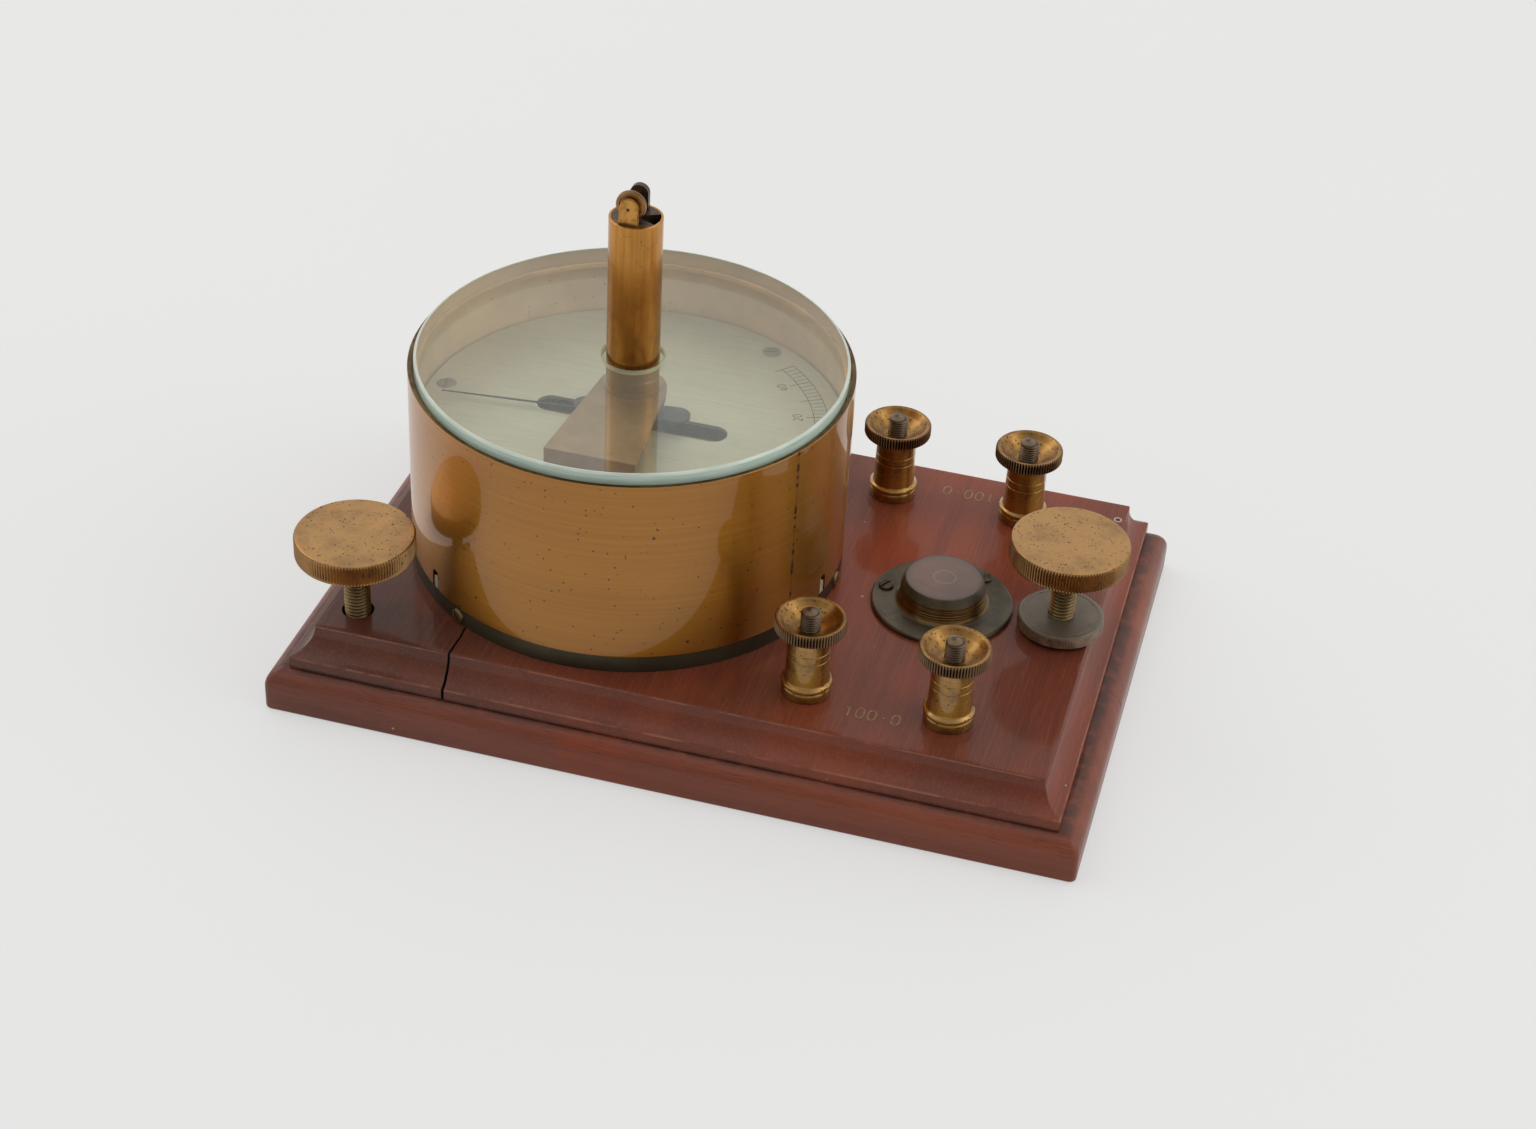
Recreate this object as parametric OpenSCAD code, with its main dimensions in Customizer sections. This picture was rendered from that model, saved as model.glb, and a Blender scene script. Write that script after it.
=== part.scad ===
// Differential galvanometer on a moulded wooden base.
// Origin: middle of the underside. X runs left to right, Y front to back, Z up.

/* [Wooden base] */
// Length of the lower board, left to right
plinth_l = 234.8; // [228:0.2:260]
// Depth of the lower board, front to back
plinth_w = 156.2; // [154:0.2:180]
// Thickness of the lower board
plinth_h = 13.7; // [12.5:0.1:18]
// Radius of the rounded upper edge of the lower board
plinth_round = 6; // [2:0.5:7]
// Radius of the softened lower edge of the lower board
plinth_foot = 1; // [0.5:0.5:4]
// Margin of the lower board to the left and right of the upper board
board_inset_x = 6.6; // [5:0.2:8]
// Margin of the lower board in front of and behind the upper board
board_inset_y = 3.8; // [3:0.2:6]
// Thickness of the upper board
board_h = 12.2; // [11:0.1:16]
// Height of the square lip below the hollow moulding
board_lip = 3.6; // [2:0.1:4.5]
// Width of the hollow moulding
cove_w = 5.85; // [4:0.05:6.5]
// Square step above the hollow moulding
board_step = 0.8; // [0.4:0.1:2]
// Depth of the wiring channels in the underside
channel_h = 4.5; // [3.5:0.1:6]
// Width of the wiring channels
channel_w = 3; // [2.5:0.1:5]

/* [Wood screws under the base] */
// Distance of the side screws from the middle, along X
wood_screw_x = 98; // [92:0.5:100]
// Distance of the side screws from the middle, along Y
wood_screw_y = 30; // [20:1:40]
// Distance of the middle screws from the middle, along Y
wood_screw_mid_y = 60; // [52:0.5:62]
// Radius of a wood screw
wood_screw_r = 1.9; // [1.5:0.1:2.2]
// Radius of a wood screw's countersunk head
wood_screw_head_r = 3.6; // [3:0.1:4]
// Length of a wood screw
wood_screw_l = 22; // [18:0.5:23]

/* [Drum case] */
// Place of the drum's axis along X
drum_x = -34; // [-36:0.5:-32]
// Outer radius of the brass drum
drum_r = 63.5; // [61:0.5:65]
// Thickness of the drum wall
wall_t = 1.4; // [1:0.1:2]
// Height of the drum wall
case_h = 56.6; // [54:0.2:64]
// Width of the arched slots in the lower edge of the wall
slot_w = 1.9; // [1.5:0.1:3]
// Height of the arched slots
slot_h = 5.6; // [4:0.1:6]
// Angle of the first arched slot, the others follow at thirds of a turn
slot_angle = 108; // [100:1:115]
// Angle from an arched slot to the next key screw
key_step = 10.5; // [8:0.5:14]
// Thickness of the soldered ledge that carries the glass
ledge_t = 1.2; // [0.8:0.1:2]
// Width of the soldered ledge
ledge_w = 1.7; // [1.2:0.1:3]
// Thickness of the glass
glass_t = 5; // [4:0.1:6]
// Height by which the glass stands out of the drum
glass_proud = 2.9; // [2:0.1:3.5]
// Gap between the glass and the drum wall
glass_gap = 0.4; // [0.2:0.1:0.8]
// Gap between the tube and the hole in the glass
glass_hole_gap = 1.2; // [0.8:0.1:2]

/* [Base ring] */
// Height of the visible band of the base ring
ring_h = 5.3; // [5:0.1:7]
// Step from the drum's surface in to the band
ring_step = 0.2; // [0.1:0.1:1]
// Height of the spigot above the band
spigot_h = 6.3; // [6.2:0.1:9]
// Thickness of the spigot
spigot_t = 1.6; // [1.2:0.1:2]
// Gap between the spigot and the drum wall
spigot_gap = 0.3; // [0.2:0.05:0.5]
// Thickness of the inner floor of the ring
ring_floor_t = 2.5; // [2:0.1:3.5]
// Width of the inner floor of the ring
ring_floor_w = 11; // [10.5:0.1:14]
// Radius of the key screws' heads
key_head_r = 2.1; // [1.6:0.1:2.2]
// Height of the key screws' heads
key_head_h = 1.1; // [0.8:0.1:1.5]
// Radius of the key screws' shanks
key_shank_r = 0.9; // [0.7:0.1:1.1]

/* [Dial] */
// Height of the dial's face above the wooden base
dial_face_h = 43.1; // [41.5:0.1:44]
// Thickness of the dial plate
dial_t = 1; // [0.8:0.1:1.5]
// Gap between the dial and the drum wall
dial_gap = 0.5; // [0.4:0.1:1]
// Half of the length of the needle slot
slot_half_l = 28.5; // [26:0.5:34]
// Half of the width of the needle slot
slot_half_w = 4.15; // [4.1:0.05:5]
// Distance of the dial screws from the drum's surface
dial_screw_inset = 7; // [6.9:0.1:7.8]
// Angle of the first dial screw
dial_screw_angle = 60; // [55:1:65]
// Radius of a dial screw's head
dial_screw_head_r = 3; // [2.5:0.1:3.2]
// Radius of a dial screw's shank
dial_screw_r = 1.25; // [1:0.05:1.5]
// Length of a dial screw
dial_screw_l = 9; // [6:0.5:12]
// Radius of a dial pillar
pillar_r = 3.2; // [2.8:0.1:3.3]

/* [Tube and bracket] */
// Height of the bracket above the dial
bracket_h = 11; // [10:0.1:11.5]
// Thickness of the bracket
bracket_t = 1.5; // [1:0.1:2]
// Distance from the tube's axis to the front of the bracket
bracket_reach = 38.7; // [36:0.1:42]
// Width of the bracket at its foot
bracket_w = 26.4; // [22:0.2:30]
// Margin of the bracket round the tube
bracket_rim = 2.25; // [1.5:0.05:3.5]
// Length of the bracket's foot on the dial
bracket_foot = 9; // [8:0.5:12]
// Distance between the bracket's two screws
bracket_screws = 16; // [12:1:18]
// Outer radius of the suspension tube
tube_r = 7.6; // [6.8:0.1:7.8]
// Wall of the suspension tube round the torsion head
tube_t = 0.7; // [0.5:0.1:1.1]
// Height of the tube above the bracket
tube_h = 54.6; // [50:0.2:64]
// Height of the ring nut under the bracket
collar_h = 2.5; // [2:0.1:2.8]
// Margin of the ring nut round the tube
collar_rim = 2; // [1.5:0.1:3]

/* [Torsion head and windlass] */
// Depth of the head's plug in the tube
plug_h = 6; // [4:0.5:10]
// Radius of the hole for the fibre
fibre_hole_r = 1; // [0.6:0.1:1.5]
// Angle of the notch in the plug
notch_angle = 55; // [40:5:80]
// Height of the lugs above the tube
lug_h = 7.3; // [7:0.1:8.5]
// Width of a lug
lug_w = 5.3; // [4:0.1:5.6]
// Thickness of a lug
lug_t = 1.8; // [1.2:0.1:2]
// Radius of the windlass axle
axle_r = 0.45; // [0.35:0.05:0.8]
// Length by which the axle passes each lug
axle_end = 0.1; // [0.1:0.1:0.6]
// Radius of the windlass wheel
wheel_r = 4.3; // [3.5:0.1:4.6]
// Thickness of the windlass wheel
wheel_t = 1.9; // [1.5:0.1:3]

/* [Needle system] */
// Radius of the silk fibre
fibre_r = 0.1; // [0.05:0.01:0.15]
// Radius of the barrel that ends the fibre
barrel_r = 1.1; // [0.8:0.1:1.5]
// Length of the barrel
barrel_l = 4; // [3:0.5:6]
// Length of staff that turns in the barrel
swivel_l = 2; // [1.5:0.1:2.4]
// Radius of the needle staff
staff_r = 0.5; // [0.4:0.05:0.7]
// Height of the pointer above the dial
pointer_gap = 1.3; // [1.1:0.05:1.6]
// Length of the pointer from the axis to its tip
pointer_l = 55.8; // [54:0.1:56]
// Length of the pointer's tail
pointer_tail = 14; // [8:0.5:20]
// Width of the pointer where it leaves the hub
pointer_w = 1.1; // [0.8:0.1:1.5]
// Width of the pointer at its tip
pointer_tip_w = 0.3; // [0.2:0.05:0.6]
// Thickness of the pointer
pointer_t = 0.3; // [0.2:0.05:0.5]
// Radius of the pointer's hub
hub_r = 2.2; // [1.5:0.1:3]
// Height of the hubs on the staff
hub_h = 1; // [0.6:0.1:1.2]
// Length of each magnetic needle
needle_l = 34; // [28:0.5:36]
// Width of each magnetic needle
needle_w = 7.8; // [6:0.1:8]
// Thickness of each magnetic needle
needle_t = 0.9; // [0.6:0.1:1.2]
// Turn of the needles away from the zero line
needle_turn = 6.5; // [0:0.5:10]

/* [Coils] */
// Length of the tunnel that the lower needle swings in
tunnel_l = 39; // [37.5:0.5:42]
// Height of the tunnel
tunnel_h = 12; // [11:0.5:14]
// Length of each bobbin
bobbin_l = 58; // [54:1:64]
// Height of each bobbin
bobbin_h = 32; // [30:0.5:33]
// Width of each bobbin, front to back
bobbin_w = 14.9; // [12:0.1:20]
// Gap between the two bobbins
bobbin_gap = 9.2; // [8.8:0.1:12]
// Thickness of the bobbins' walls
bobbin_t = 1.2; // [0.8:0.1:2]
// Depth of the empty groove left outside the winding
winding_inset = 1; // [0.5:0.1:3]
// Thickness of the coil base
coil_base_t = 5.1; // [4:0.1:6]
// Margin of the coil base round the bobbins
coil_base_rim = 2; // [1:0.5:4]
// Radius of a coil lead
lead_r = 0.7; // [0.5:0.05:1]
// Distance of the leads' holes from the drum's axis, along X
lead_x = 23; // [21:0.5:25]

/* [Terminals] */
// Place of the left terminals along X
terminal_x = 34; // [32:0.5:36]
// Distance from the left to the right terminals
terminal_pitch = 40.3; // [38:0.1:42]
// Distance of the terminals from the middle line
terminal_y = 51.7; // [50:0.1:54]
// Radius of a terminal's collar
collar_r = 7.3; // [6.8:0.1:8]
// Height of a terminal's collar
post_collar_h = 4.4; // [3.5:0.1:5]
// Radius of a terminal's post
post_r = 6.1; // [5.5:0.1:6.5]
// Height of a terminal's post
post_h = 12.5; // [10:0.1:15]
// Thickness of the clamp washer
washer_t = 2.6; // [1.5:0.1:3]
// Height of the thumb nut
thumb_h = 9.9; // [9:0.1:12]
// Height of the thumb nut's knurled rim
thumb_rim_h = 3.7; // [3:0.1:4.5]
// Radius of the thumb nut
thumb_r = 10; // [9:0.1:11]
// Width of the flat edge round the thumb nut's hollow
thumb_lip = 1.3; // [0.8:0.1:2]
// Depth of the hollow in the thumb nut
thumb_dish = 3.5; // [2:0.1:4]
// Radius of the terminal stud
stud_r = 2.85; // [2.5:0.05:3.2]
// Height of the stud's end above the thumb nut
stud_proud = 2.3; // [1.5:0.1:4]
// Radius of the recess under each terminal
recess_r = 8; // [7:0.1:10]
// Radius of the nut under the base
back_nut_r = 5.5; // [4.5:0.1:6]
// Height of the nut under the base
back_nut_h = 3.5; // [3:0.1:4]

/* [Levelling screws] */
// Gap between the drum and the left levelling heads
level_gap = 4.15; // [3:0.05:6]
// Angle of the left levelling screws from the drum's left side
level_angle = 42.7; // [40:0.1:45]
// Place of the right levelling screw along X
level_right_x = 95.7; // [94.5:0.1:97]
// Height of the left heads' tops above the wooden base
level_left_h = 26.4; // [26:0.1:32]
// Height of the right head's top above the wooden base
level_right_h = 30.5; // [28:0.1:34]
// Length of a levelling screw with its head and foot
level_l = 51.7; // [48:0.1:51.9]
// Radius of the levelling heads
level_head_r = 17; // [15:0.1:18]
// Thickness of the levelling heads
level_head_h = 6.6; // [5:0.1:8]
// Radius of the levelling screws
level_r = 3.8; // [3.4:0.1:4]
// Gap round the levelling screws in the wood
level_hole_gap = 0.8; // [0.5:0.1:1.5]
// Length of the conical steel foot
level_foot_l = 3; // [2:0.1:4]
// Radius of the foot's flat point
level_foot_r = 0.8; // [0.5:0.1:1.5]
// Radius of the steel foot's stem
level_stem_r = 2.2; // [1.8:0.1:2.4]
// Length of the steel foot's stem
level_stem_l = 5; // [4:0.5:8]
// Radius of the lock nut
lock_r = 12.4; // [11:0.1:13]
// Height of the lock nut
lock_h = 4.45; // [3:0.05:6]
// Thickness of the washer under the lock nut
lock_washer_t = 0.8; // [0.5:0.1:1]

/* [Circular level] */
// Place of the circular level along X
level_x = 61; // [59.5:0.1:61.5]
// Radius of the level's flange
flange_r = 20.6; // [20:0.1:21]
// Thickness of the level's flange
flange_t = 1.5; // [1:0.1:2]
// Radius of the level's cup
cup_r = 12.4; // [12:0.1:13]
// Height of the cup above the wooden base
cup_h = 5.4; // [4.5:0.1:6]
// Wall of the cup
cup_t = 2.2; // [1.5:0.1:2.6]
// Height of the cap that holds the level's glass
cap_h = 3.9; // [3.5:0.1:5]
// Radius of the top of the cap
cap_top_r = 11.7; // [11.5:0.1:12]
// Radius of the level's glass
level_glass_r = 10.8; // [10.4:0.1:11]
// Thickness of the level's glass
level_glass_t = 2; // [1.5:0.1:2.5]
// Distance of the level's screws from its middle
level_screw_ring = 17; // [16.5:0.1:17.4]
// Radius of a level screw's head
level_screw_head_r = 2.2; // [1.8:0.1:2.4]
// Height of a level screw's head
level_screw_head_h = 1; // [0.8:0.1:1.4]
// Radius of a level screw's shank
level_screw_r = 1.1; // [0.8:0.1:1.3]

/* [Fits] */
// Radial clearance of a turning or sliding pin
fit = 0.05; // [0.02:0.01:0.1]
// Radial clearance between parts that are fixed together
seat = 0.02; // [0.01:0.01:0.05]

/* [Hidden] */
$fn = 96;
more = 1;

deck = plinth_h + board_h;
board_l = plinth_l - 2 * board_inset_x;
board_w = plinth_w - 2 * board_inset_y;
cove_h = board_h - board_lip - board_step;
cove_r = (cove_w * cove_w + cove_h * cove_h) / (2 * cove_w);

case_inner_r = drum_r - wall_t;
ring_r = drum_r - ring_step;
spigot_r = case_inner_r - spigot_gap;
spigot_inner_r = spigot_r - spigot_t;
ring_hole_r = spigot_inner_r - ring_floor_w;
case_top = ring_h + case_h;
glass_top = case_top + glass_proud;
glass_bottom = glass_top - glass_t;
glass_r = case_inner_r - glass_gap;
key_h = ring_h / 2;
key_floor = 0.6;
key_slack = 0.1;
key_notch_gap = 1;
ring_screw_inset = 4.2;
ring_screw_ring = ring_hole_r + ring_screw_inset;
ring_screw_r = 1.4;
ring_screw_head_r = 2.7;
ring_screw_l = 11;

dial_r = case_inner_r - dial_gap;
dial_under = dial_face_h - dial_t;
dial_screw_ring = drum_r - dial_screw_inset;
pillar_h = dial_under - ring_floor_t;

bracket_top = dial_face_h + bracket_h;
bracket_under = bracket_top - bracket_t;
bracket_nose_r = tube_r + bracket_rim;
bracket_screw_y = -bracket_reach - bracket_foot / 2;
bracket_screw_r = 1.2;
bracket_screw_head_r = 2.2;
bracket_screw_head_h = 1.4;
tube_top = bracket_top + tube_h;
tube_inner_r = tube_r - tube_t;
tube_bottom = bracket_under - collar_h;
shoulder_w = 0.8;

plug_r = tube_inner_r - fit;
axle_x = -(axle_r + fibre_r + seat);
axle_h = tube_top + lug_h - lug_w / 2;
lug_root = 0.5;
lug_margin = 0.1;
wheel_gap = 0.3;
lug_out = sqrt(pow(plug_r - lug_margin, 2) - pow(lug_w / 2 - axle_x, 2));
wheel_y = -(lug_out - lug_t - wheel_gap);

pointer_h = dial_face_h + pointer_gap;
upper_needle_h = pointer_h + hub_h;
barrel_top = bracket_under + barrel_l;
staff_top = bracket_under + swivel_l;
swivel_gap = 0.3;
tunnel_mid_h = coil_base_t + bobbin_h / 2;
lower_needle_h = tunnel_mid_h - needle_t / 2;
staff_bottom = lower_needle_h - hub_h;

bobbin_y = (bobbin_gap + bobbin_w) / 2;
coil_base_l = bobbin_l + 2 * coil_base_rim;
coil_base_w = bobbin_gap + 2 * bobbin_w + 2 * coil_base_rim;
coil_screw_inset = 4;
coil_screw_x = bobbin_l / 2 - coil_screw_inset;
coil_screw_r = 1.5;
coil_screw_head_r = 2.8;
coil_screw_l = 14;

lead_hole_r = lead_r + 0.8;
lead_z = channel_h - lead_r - 0.9;
lead_bend_r = lead_r + 0.1;
lead_gap = 0.4;
recess_roof = 4.7;

terminal_xs = [terminal_x, terminal_x + terminal_pitch];
terminals = [
  [terminal_xs[0], -terminal_y],
  [terminal_xs[1], -terminal_y],
  [terminal_xs[0], terminal_y],
  [terminal_xs[1], terminal_y]
];
terminal_corner = ["front_left", "front_right", "back_left", "back_right"];
edge = 0.3;
rim_edge = 0.4;
collar_fall = 0.8;
neck = 0.8;
thumb_floor_w = 1;
washer_h = post_h;
thumb_z = washer_h + washer_t;
stud_top = thumb_z + thumb_h + stud_proud;
recess_h = plinth_h - recess_roof;
back_washer_t = 0.8;
back_washer_gap = 0.6;
stud_tail = 1;
eye_t = 2 * lead_r;
eye_w = 1.8;
eye_r = stud_r + fit + eye_w;
back_nut_top = recess_h - back_washer_t - eye_t;
stud_bottom = back_nut_top - back_nut_h - stud_tail - deck;
stud_dome = 1.2;

// Each coil's leads run side by side from the drum to the two terminals of its own side
lead_starts = [
  [drum_x - lead_x, -bobbin_y],
  [drum_x + lead_x, -bobbin_y],
  [drum_x - lead_x, bobbin_y],
  [drum_x + lead_x, bobbin_y]
];

level_ring = drum_r + level_gap + level_head_r;
level_left_x = drum_x - level_ring * cos(level_angle);
level_left_y = level_ring * sin(level_angle);
level_screws = [
  [level_left_x, -level_left_y, level_left_h],
  [level_left_x, level_left_y, level_left_h],
  [level_right_x, 0, level_right_h]
];
level_corner = ["front_left", "back_left", "right"];
foot_step = 0.5;
foot_top_r = level_r - foot_step;
foot_gap = 0.1;
stem_gap = 0.3;
head_edge = 0.5;
socket_d = 4;
bush_flange_r = 9;
bush_flange_t = 2;
bush_r = 6;
bush_h = 9;
bush_z = 0.4;
lock_chamfer = 1;
lock_undercut = 0.8;
lock_washer_inset = 2.4;
lock_washer_gap = 0.4;

level_screw_angles = [176, 56, 296];
fillet = 1.2;
cup_floor_t = 0.8;
cup_floor = flange_t + cup_floor_t;
cap_rim = 0.2;
cap_band_h = 1;
glass_seat_w = 1.1;
spirit_gap = 0.1;
cap_seat_r = level_glass_r - glass_seat_w;
cap_top = cup_h + cap_h;
glass_crown = 0.25;
level_screw_l = 8;

wood_screws = [
  [-wood_screw_x, -wood_screw_y],
  [-wood_screw_x, wood_screw_y],
  [wood_screw_x, -wood_screw_y],
  [wood_screw_x, wood_screw_y],
  [0, -wood_screw_mid_y],
  [0, wood_screw_mid_y]
];
wood_screw_z = 0.4;

// Places its children on the drum's axis, at the top of the wooden base
module on_drum() {
  translate([drum_x, 0, deck]) children();
}

// A rod or hole along Z from one height to another
module rod(r, z0, z1) {
  translate([0, 0, z0]) cylinder(r = r, h = z1 - z0);
}

// A tube along Z from one height to another
module pipe(r, inner_r, z0, z1) {
  difference() {
    rod(r, z0, z1);
    rod(inner_r, z0 - more, z1 + more);
  }
}

// A countersunk screw that points down, with its head flush at height zero
module countersunk(r, head_r, len) {
  rotate_extrude() polygon([[0, 0], [head_r, 0], [r, r - head_r], [r, -len], [0, -len]]);
}

// A cheese-headed screw that points down, with its head standing on height zero
module cheese_screw(r, head_r, head_h, len) {
  rod(head_r, 0, head_h);
  rod(r, -len, head_h / 2);
}

// The lower board's cross-section, standing on its underside
module plinth_profile(half) {
  difference() {
    translate([-half, 0]) square([2 * half, plinth_h]);
    for (side = [0, 1]) mirror([side, 0]) {
      translate([half - plinth_round, plinth_h - plinth_round]) difference() {
        square(plinth_round + more);
        circle(plinth_round);
      }
      translate([half - plinth_foot, plinth_foot]) difference() {
        translate([0, -plinth_foot - more]) square(plinth_foot + more);
        circle(plinth_foot);
      }
    }
  }
}

// The upper board's cross-section, with its lip, hollow and step
module board_profile(half) {
  hollow_top = board_lip + cove_h;
  difference() {
    translate([-half, 0]) square([2 * half, board_h]);
    for (side = [0, 1]) mirror([side, 0]) {
      intersection() {
        translate([half - cove_w, board_lip]) square([cove_w + more, cove_h + board_step + more]);
        union() {
          translate([half - cove_w + cove_r, hollow_top]) circle(cove_r);
          translate([half - cove_w, hollow_top]) square([cove_w + more, board_step + more]);
        }
      }
    }
  }
}

// A straight channel of the underside, between two points
module channel(a, b) {
  run = b - a;
  translate([a[0], a[1], -more]) rotate([0, 0, atan2(run[1], run[0])])
    translate([0, -channel_w / 2, 0]) cube([norm(run), channel_w, channel_h + more]);
}

module plinth() color("saddlebrown") difference() {
  intersection() {
    rotate([90, 0, 90]) translate([0, 0, -plinth_l / 2]) linear_extrude(plinth_l)
      plinth_profile(plinth_w / 2);
    rotate([90, 0, 0]) translate([0, 0, -plinth_w / 2]) linear_extrude(plinth_w)
      plinth_profile(plinth_l / 2);
  }
  for (p = terminals) translate(p) {
    rod(recess_r, -more, recess_h);
    rod(stud_r + fit, -more, plinth_h + more);
  }
  for (p = level_screws) translate([p[0], p[1], 0]) {
    rod(bush_flange_r + seat, -more, bush_z + bush_flange_t);
    rod(bush_r + seat, -more, bush_z + bush_h);
    rod(level_r + level_hole_gap, -more, plinth_h + more);
  }
  for (i = [0:3]) {
    translate(lead_starts[i]) rod(lead_hole_r, -more, plinth_h + more);
    channel(lead_starts[i], terminals[i]);
  }
  for (p = wood_screws) translate(p) {
    rod(wood_screw_r + seat, -more, plinth_h + more);
    translate([0, 0, wood_screw_z]) mirror([0, 0, 1])
      countersunk(wood_screw_r + seat, wood_screw_head_r + seat, wood_screw_l);
    rod(wood_screw_head_r + seat, -more, wood_screw_z);
  }
}

module upper_board() color("sienna") difference() {
  translate([0, 0, plinth_h]) intersection() {
    rotate([90, 0, 90]) translate([0, 0, -board_l / 2]) linear_extrude(board_l)
      board_profile(board_w / 2);
    rotate([90, 0, 0]) translate([0, 0, -board_w / 2]) linear_extrude(board_w)
      board_profile(board_l / 2);
  }
  for (p = terminals) translate(p) rod(stud_r + fit, plinth_h - more, deck + more);
  for (p = level_screws) translate([p[0], p[1], 0])
    rod(level_r + level_hole_gap, plinth_h - more, deck + more);
  for (p = lead_starts) translate(p) rod(lead_hole_r, plinth_h - more, deck + more);
  for (p = wood_screws) translate(p)
    rod(wood_screw_r + seat, plinth_h - more, wood_screw_z + wood_screw_l + seat);
  for (a = [0:120:240]) on_drum() rotate([0, 0, a]) translate([ring_screw_ring, 0, 0])
    rod(ring_screw_r + seat, ring_floor_t - ring_screw_l - seat, more);
  for (x = [-coil_screw_x, coil_screw_x]) on_drum() translate([x, 0, 0])
    rod(coil_screw_r + seat, coil_base_t - coil_screw_l - seat, more);
  for (a = level_screw_angles) translate([level_x, 0, deck]) rotate([0, 0, a])
    translate([level_screw_ring, 0, 0]) rod(level_screw_r + seat, flange_t - level_screw_l - seat, more);
}

module base_wood_screws() color("dimgray") for (p = wood_screws) translate([p[0], p[1], wood_screw_z])
  mirror([0, 0, 1]) countersunk(wood_screw_r, wood_screw_head_r, wood_screw_l);

module base_ring() color("darkolivegreen") on_drum() difference() {
  rotate_extrude() polygon([
    [ring_hole_r, 0], [ring_r, 0], [ring_r, ring_h], [spigot_r, ring_h],
    [spigot_r, ring_h + spigot_h], [spigot_inner_r, ring_h + spigot_h],
    [spigot_inner_r, ring_floor_t], [ring_hole_r, ring_floor_t]
  ]);
  for (a = [0:120:240]) rotate([0, 0, a]) translate([ring_screw_ring, 0, ring_floor_t]) {
    countersunk(ring_screw_r + seat, ring_screw_head_r + seat, ring_screw_l);
    rod(ring_screw_head_r + seat, 0, more);
  }
  for (a = [0:120:240]) rotate([0, 0, slot_angle + key_step + a]) translate([0, 0, key_h]) rotate([0, 90, 0])
    rod(key_shank_r + seat, spigot_inner_r + key_floor, ring_r + more);
}

module base_ring_screws() color("goldenrod") for (a = [0:120:240]) on_drum() rotate([0, 0, a])
  translate([ring_screw_ring, 0, ring_floor_t]) countersunk(ring_screw_r, ring_screw_head_r, ring_screw_l);

module case_key_screws() color("darkkhaki") for (a = [0:120:240]) on_drum()
  rotate([0, 0, slot_angle + key_step + a]) translate([0, 0, key_h]) rotate([0, 90, 0]) {
    rod(key_shank_r, spigot_inner_r + key_floor + key_slack, ring_r + key_head_h / 2);
    rod(key_head_r, ring_r + seat, ring_r + key_head_h);
  }

module drum_case() color("darkgoldenrod") on_drum() difference() {
  pipe(drum_r, case_inner_r, ring_h, case_top);
  for (a = [0:120:240]) {
    rotate([0, 0, slot_angle + a]) {
      translate([spigot_r, -slot_w / 2, ring_h - more])
        cube([2 * wall_t + more, slot_w, slot_h - slot_w / 2 + more]);
      translate([0, 0, ring_h + slot_h - slot_w / 2]) rotate([0, 90, 0])
        rod(slot_w / 2, spigot_r, drum_r + more);
    }
    rotate([0, 0, slot_angle + key_step + a]) translate([0, 0, key_h]) rotate([0, 90, 0])
      rod(key_head_r + key_notch_gap, spigot_r, drum_r + more);
  }
}

module glass_ledge() color("peru") on_drum()
  pipe(case_inner_r - seat, case_inner_r - ledge_w, glass_bottom - ledge_t, glass_bottom);

module glass_cover() color("lightcyan", 0.4) on_drum()
  pipe(glass_r, tube_r + glass_hole_gap, glass_bottom, glass_top);

module dial_screw_places() {
  for (a = [0:120:240]) rotate([0, 0, dial_screw_angle + a]) translate([dial_screw_ring, 0, 0]) children();
}

module bracket_screw_places() {
  for (x = [-bracket_screws / 2, bracket_screws / 2]) translate([x, bracket_screw_y, 0]) children();
}

module dial_plate() color("silver") on_drum() difference() {
  rod(dial_r, dial_under, dial_face_h);
  translate([0, 0, dial_under - more]) linear_extrude(dial_t + 2 * more) {
    square([2 * (slot_half_l - slot_half_w), 2 * slot_half_w], center = true);
    for (x = [-1, 1]) translate([x * (slot_half_l - slot_half_w), 0]) circle(slot_half_w);
  }
  dial_screw_places() translate([0, 0, dial_face_h])
    countersunk(dial_screw_r + seat, dial_screw_head_r + seat, dial_screw_l);
  bracket_screw_places() rod(bracket_screw_r + seat, dial_under - more, dial_face_h + more);
}

module dial_screws() color("gainsboro") on_drum() dial_screw_places() translate([0, 0, dial_face_h])
  countersunk(dial_screw_r, dial_screw_head_r, dial_screw_l);

module dial_pillars() color("goldenrod") on_drum() dial_screw_places() difference() {
  rod(pillar_r, ring_floor_t, dial_under);
  translate([0, 0, dial_face_h])
    countersunk(dial_screw_r + seat, dial_screw_head_r + seat, dial_screw_l + seat);
}

module coil_base() color("black") on_drum() difference() {
  translate([-coil_base_l / 2, -coil_base_w / 2, 0]) cube([coil_base_l, coil_base_w, coil_base_t]);
  for (x = [-coil_screw_x, coil_screw_x]) translate([x, 0, coil_base_t]) {
    countersunk(coil_screw_r + seat, coil_screw_head_r + seat, coil_screw_l);
    rod(coil_screw_head_r + seat, 0, more);
  }
  for (x = [-lead_x, lead_x]) for (y = [-bobbin_y, bobbin_y]) translate([x, y, 0])
    rod(lead_hole_r, -more, coil_base_t + more);
}

module coil_base_screws() color("goldenrod") for (x = [-coil_screw_x, coil_screw_x]) on_drum()
  translate([x, 0, coil_base_t]) countersunk(coil_screw_r, coil_screw_head_r, coil_screw_l);

// A block centred on the bobbin's tunnel, given its size along X, Y and Z
module tunnel_block(size) {
  translate([0, 0, tunnel_mid_h]) cube(size, center = true);
}

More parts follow.
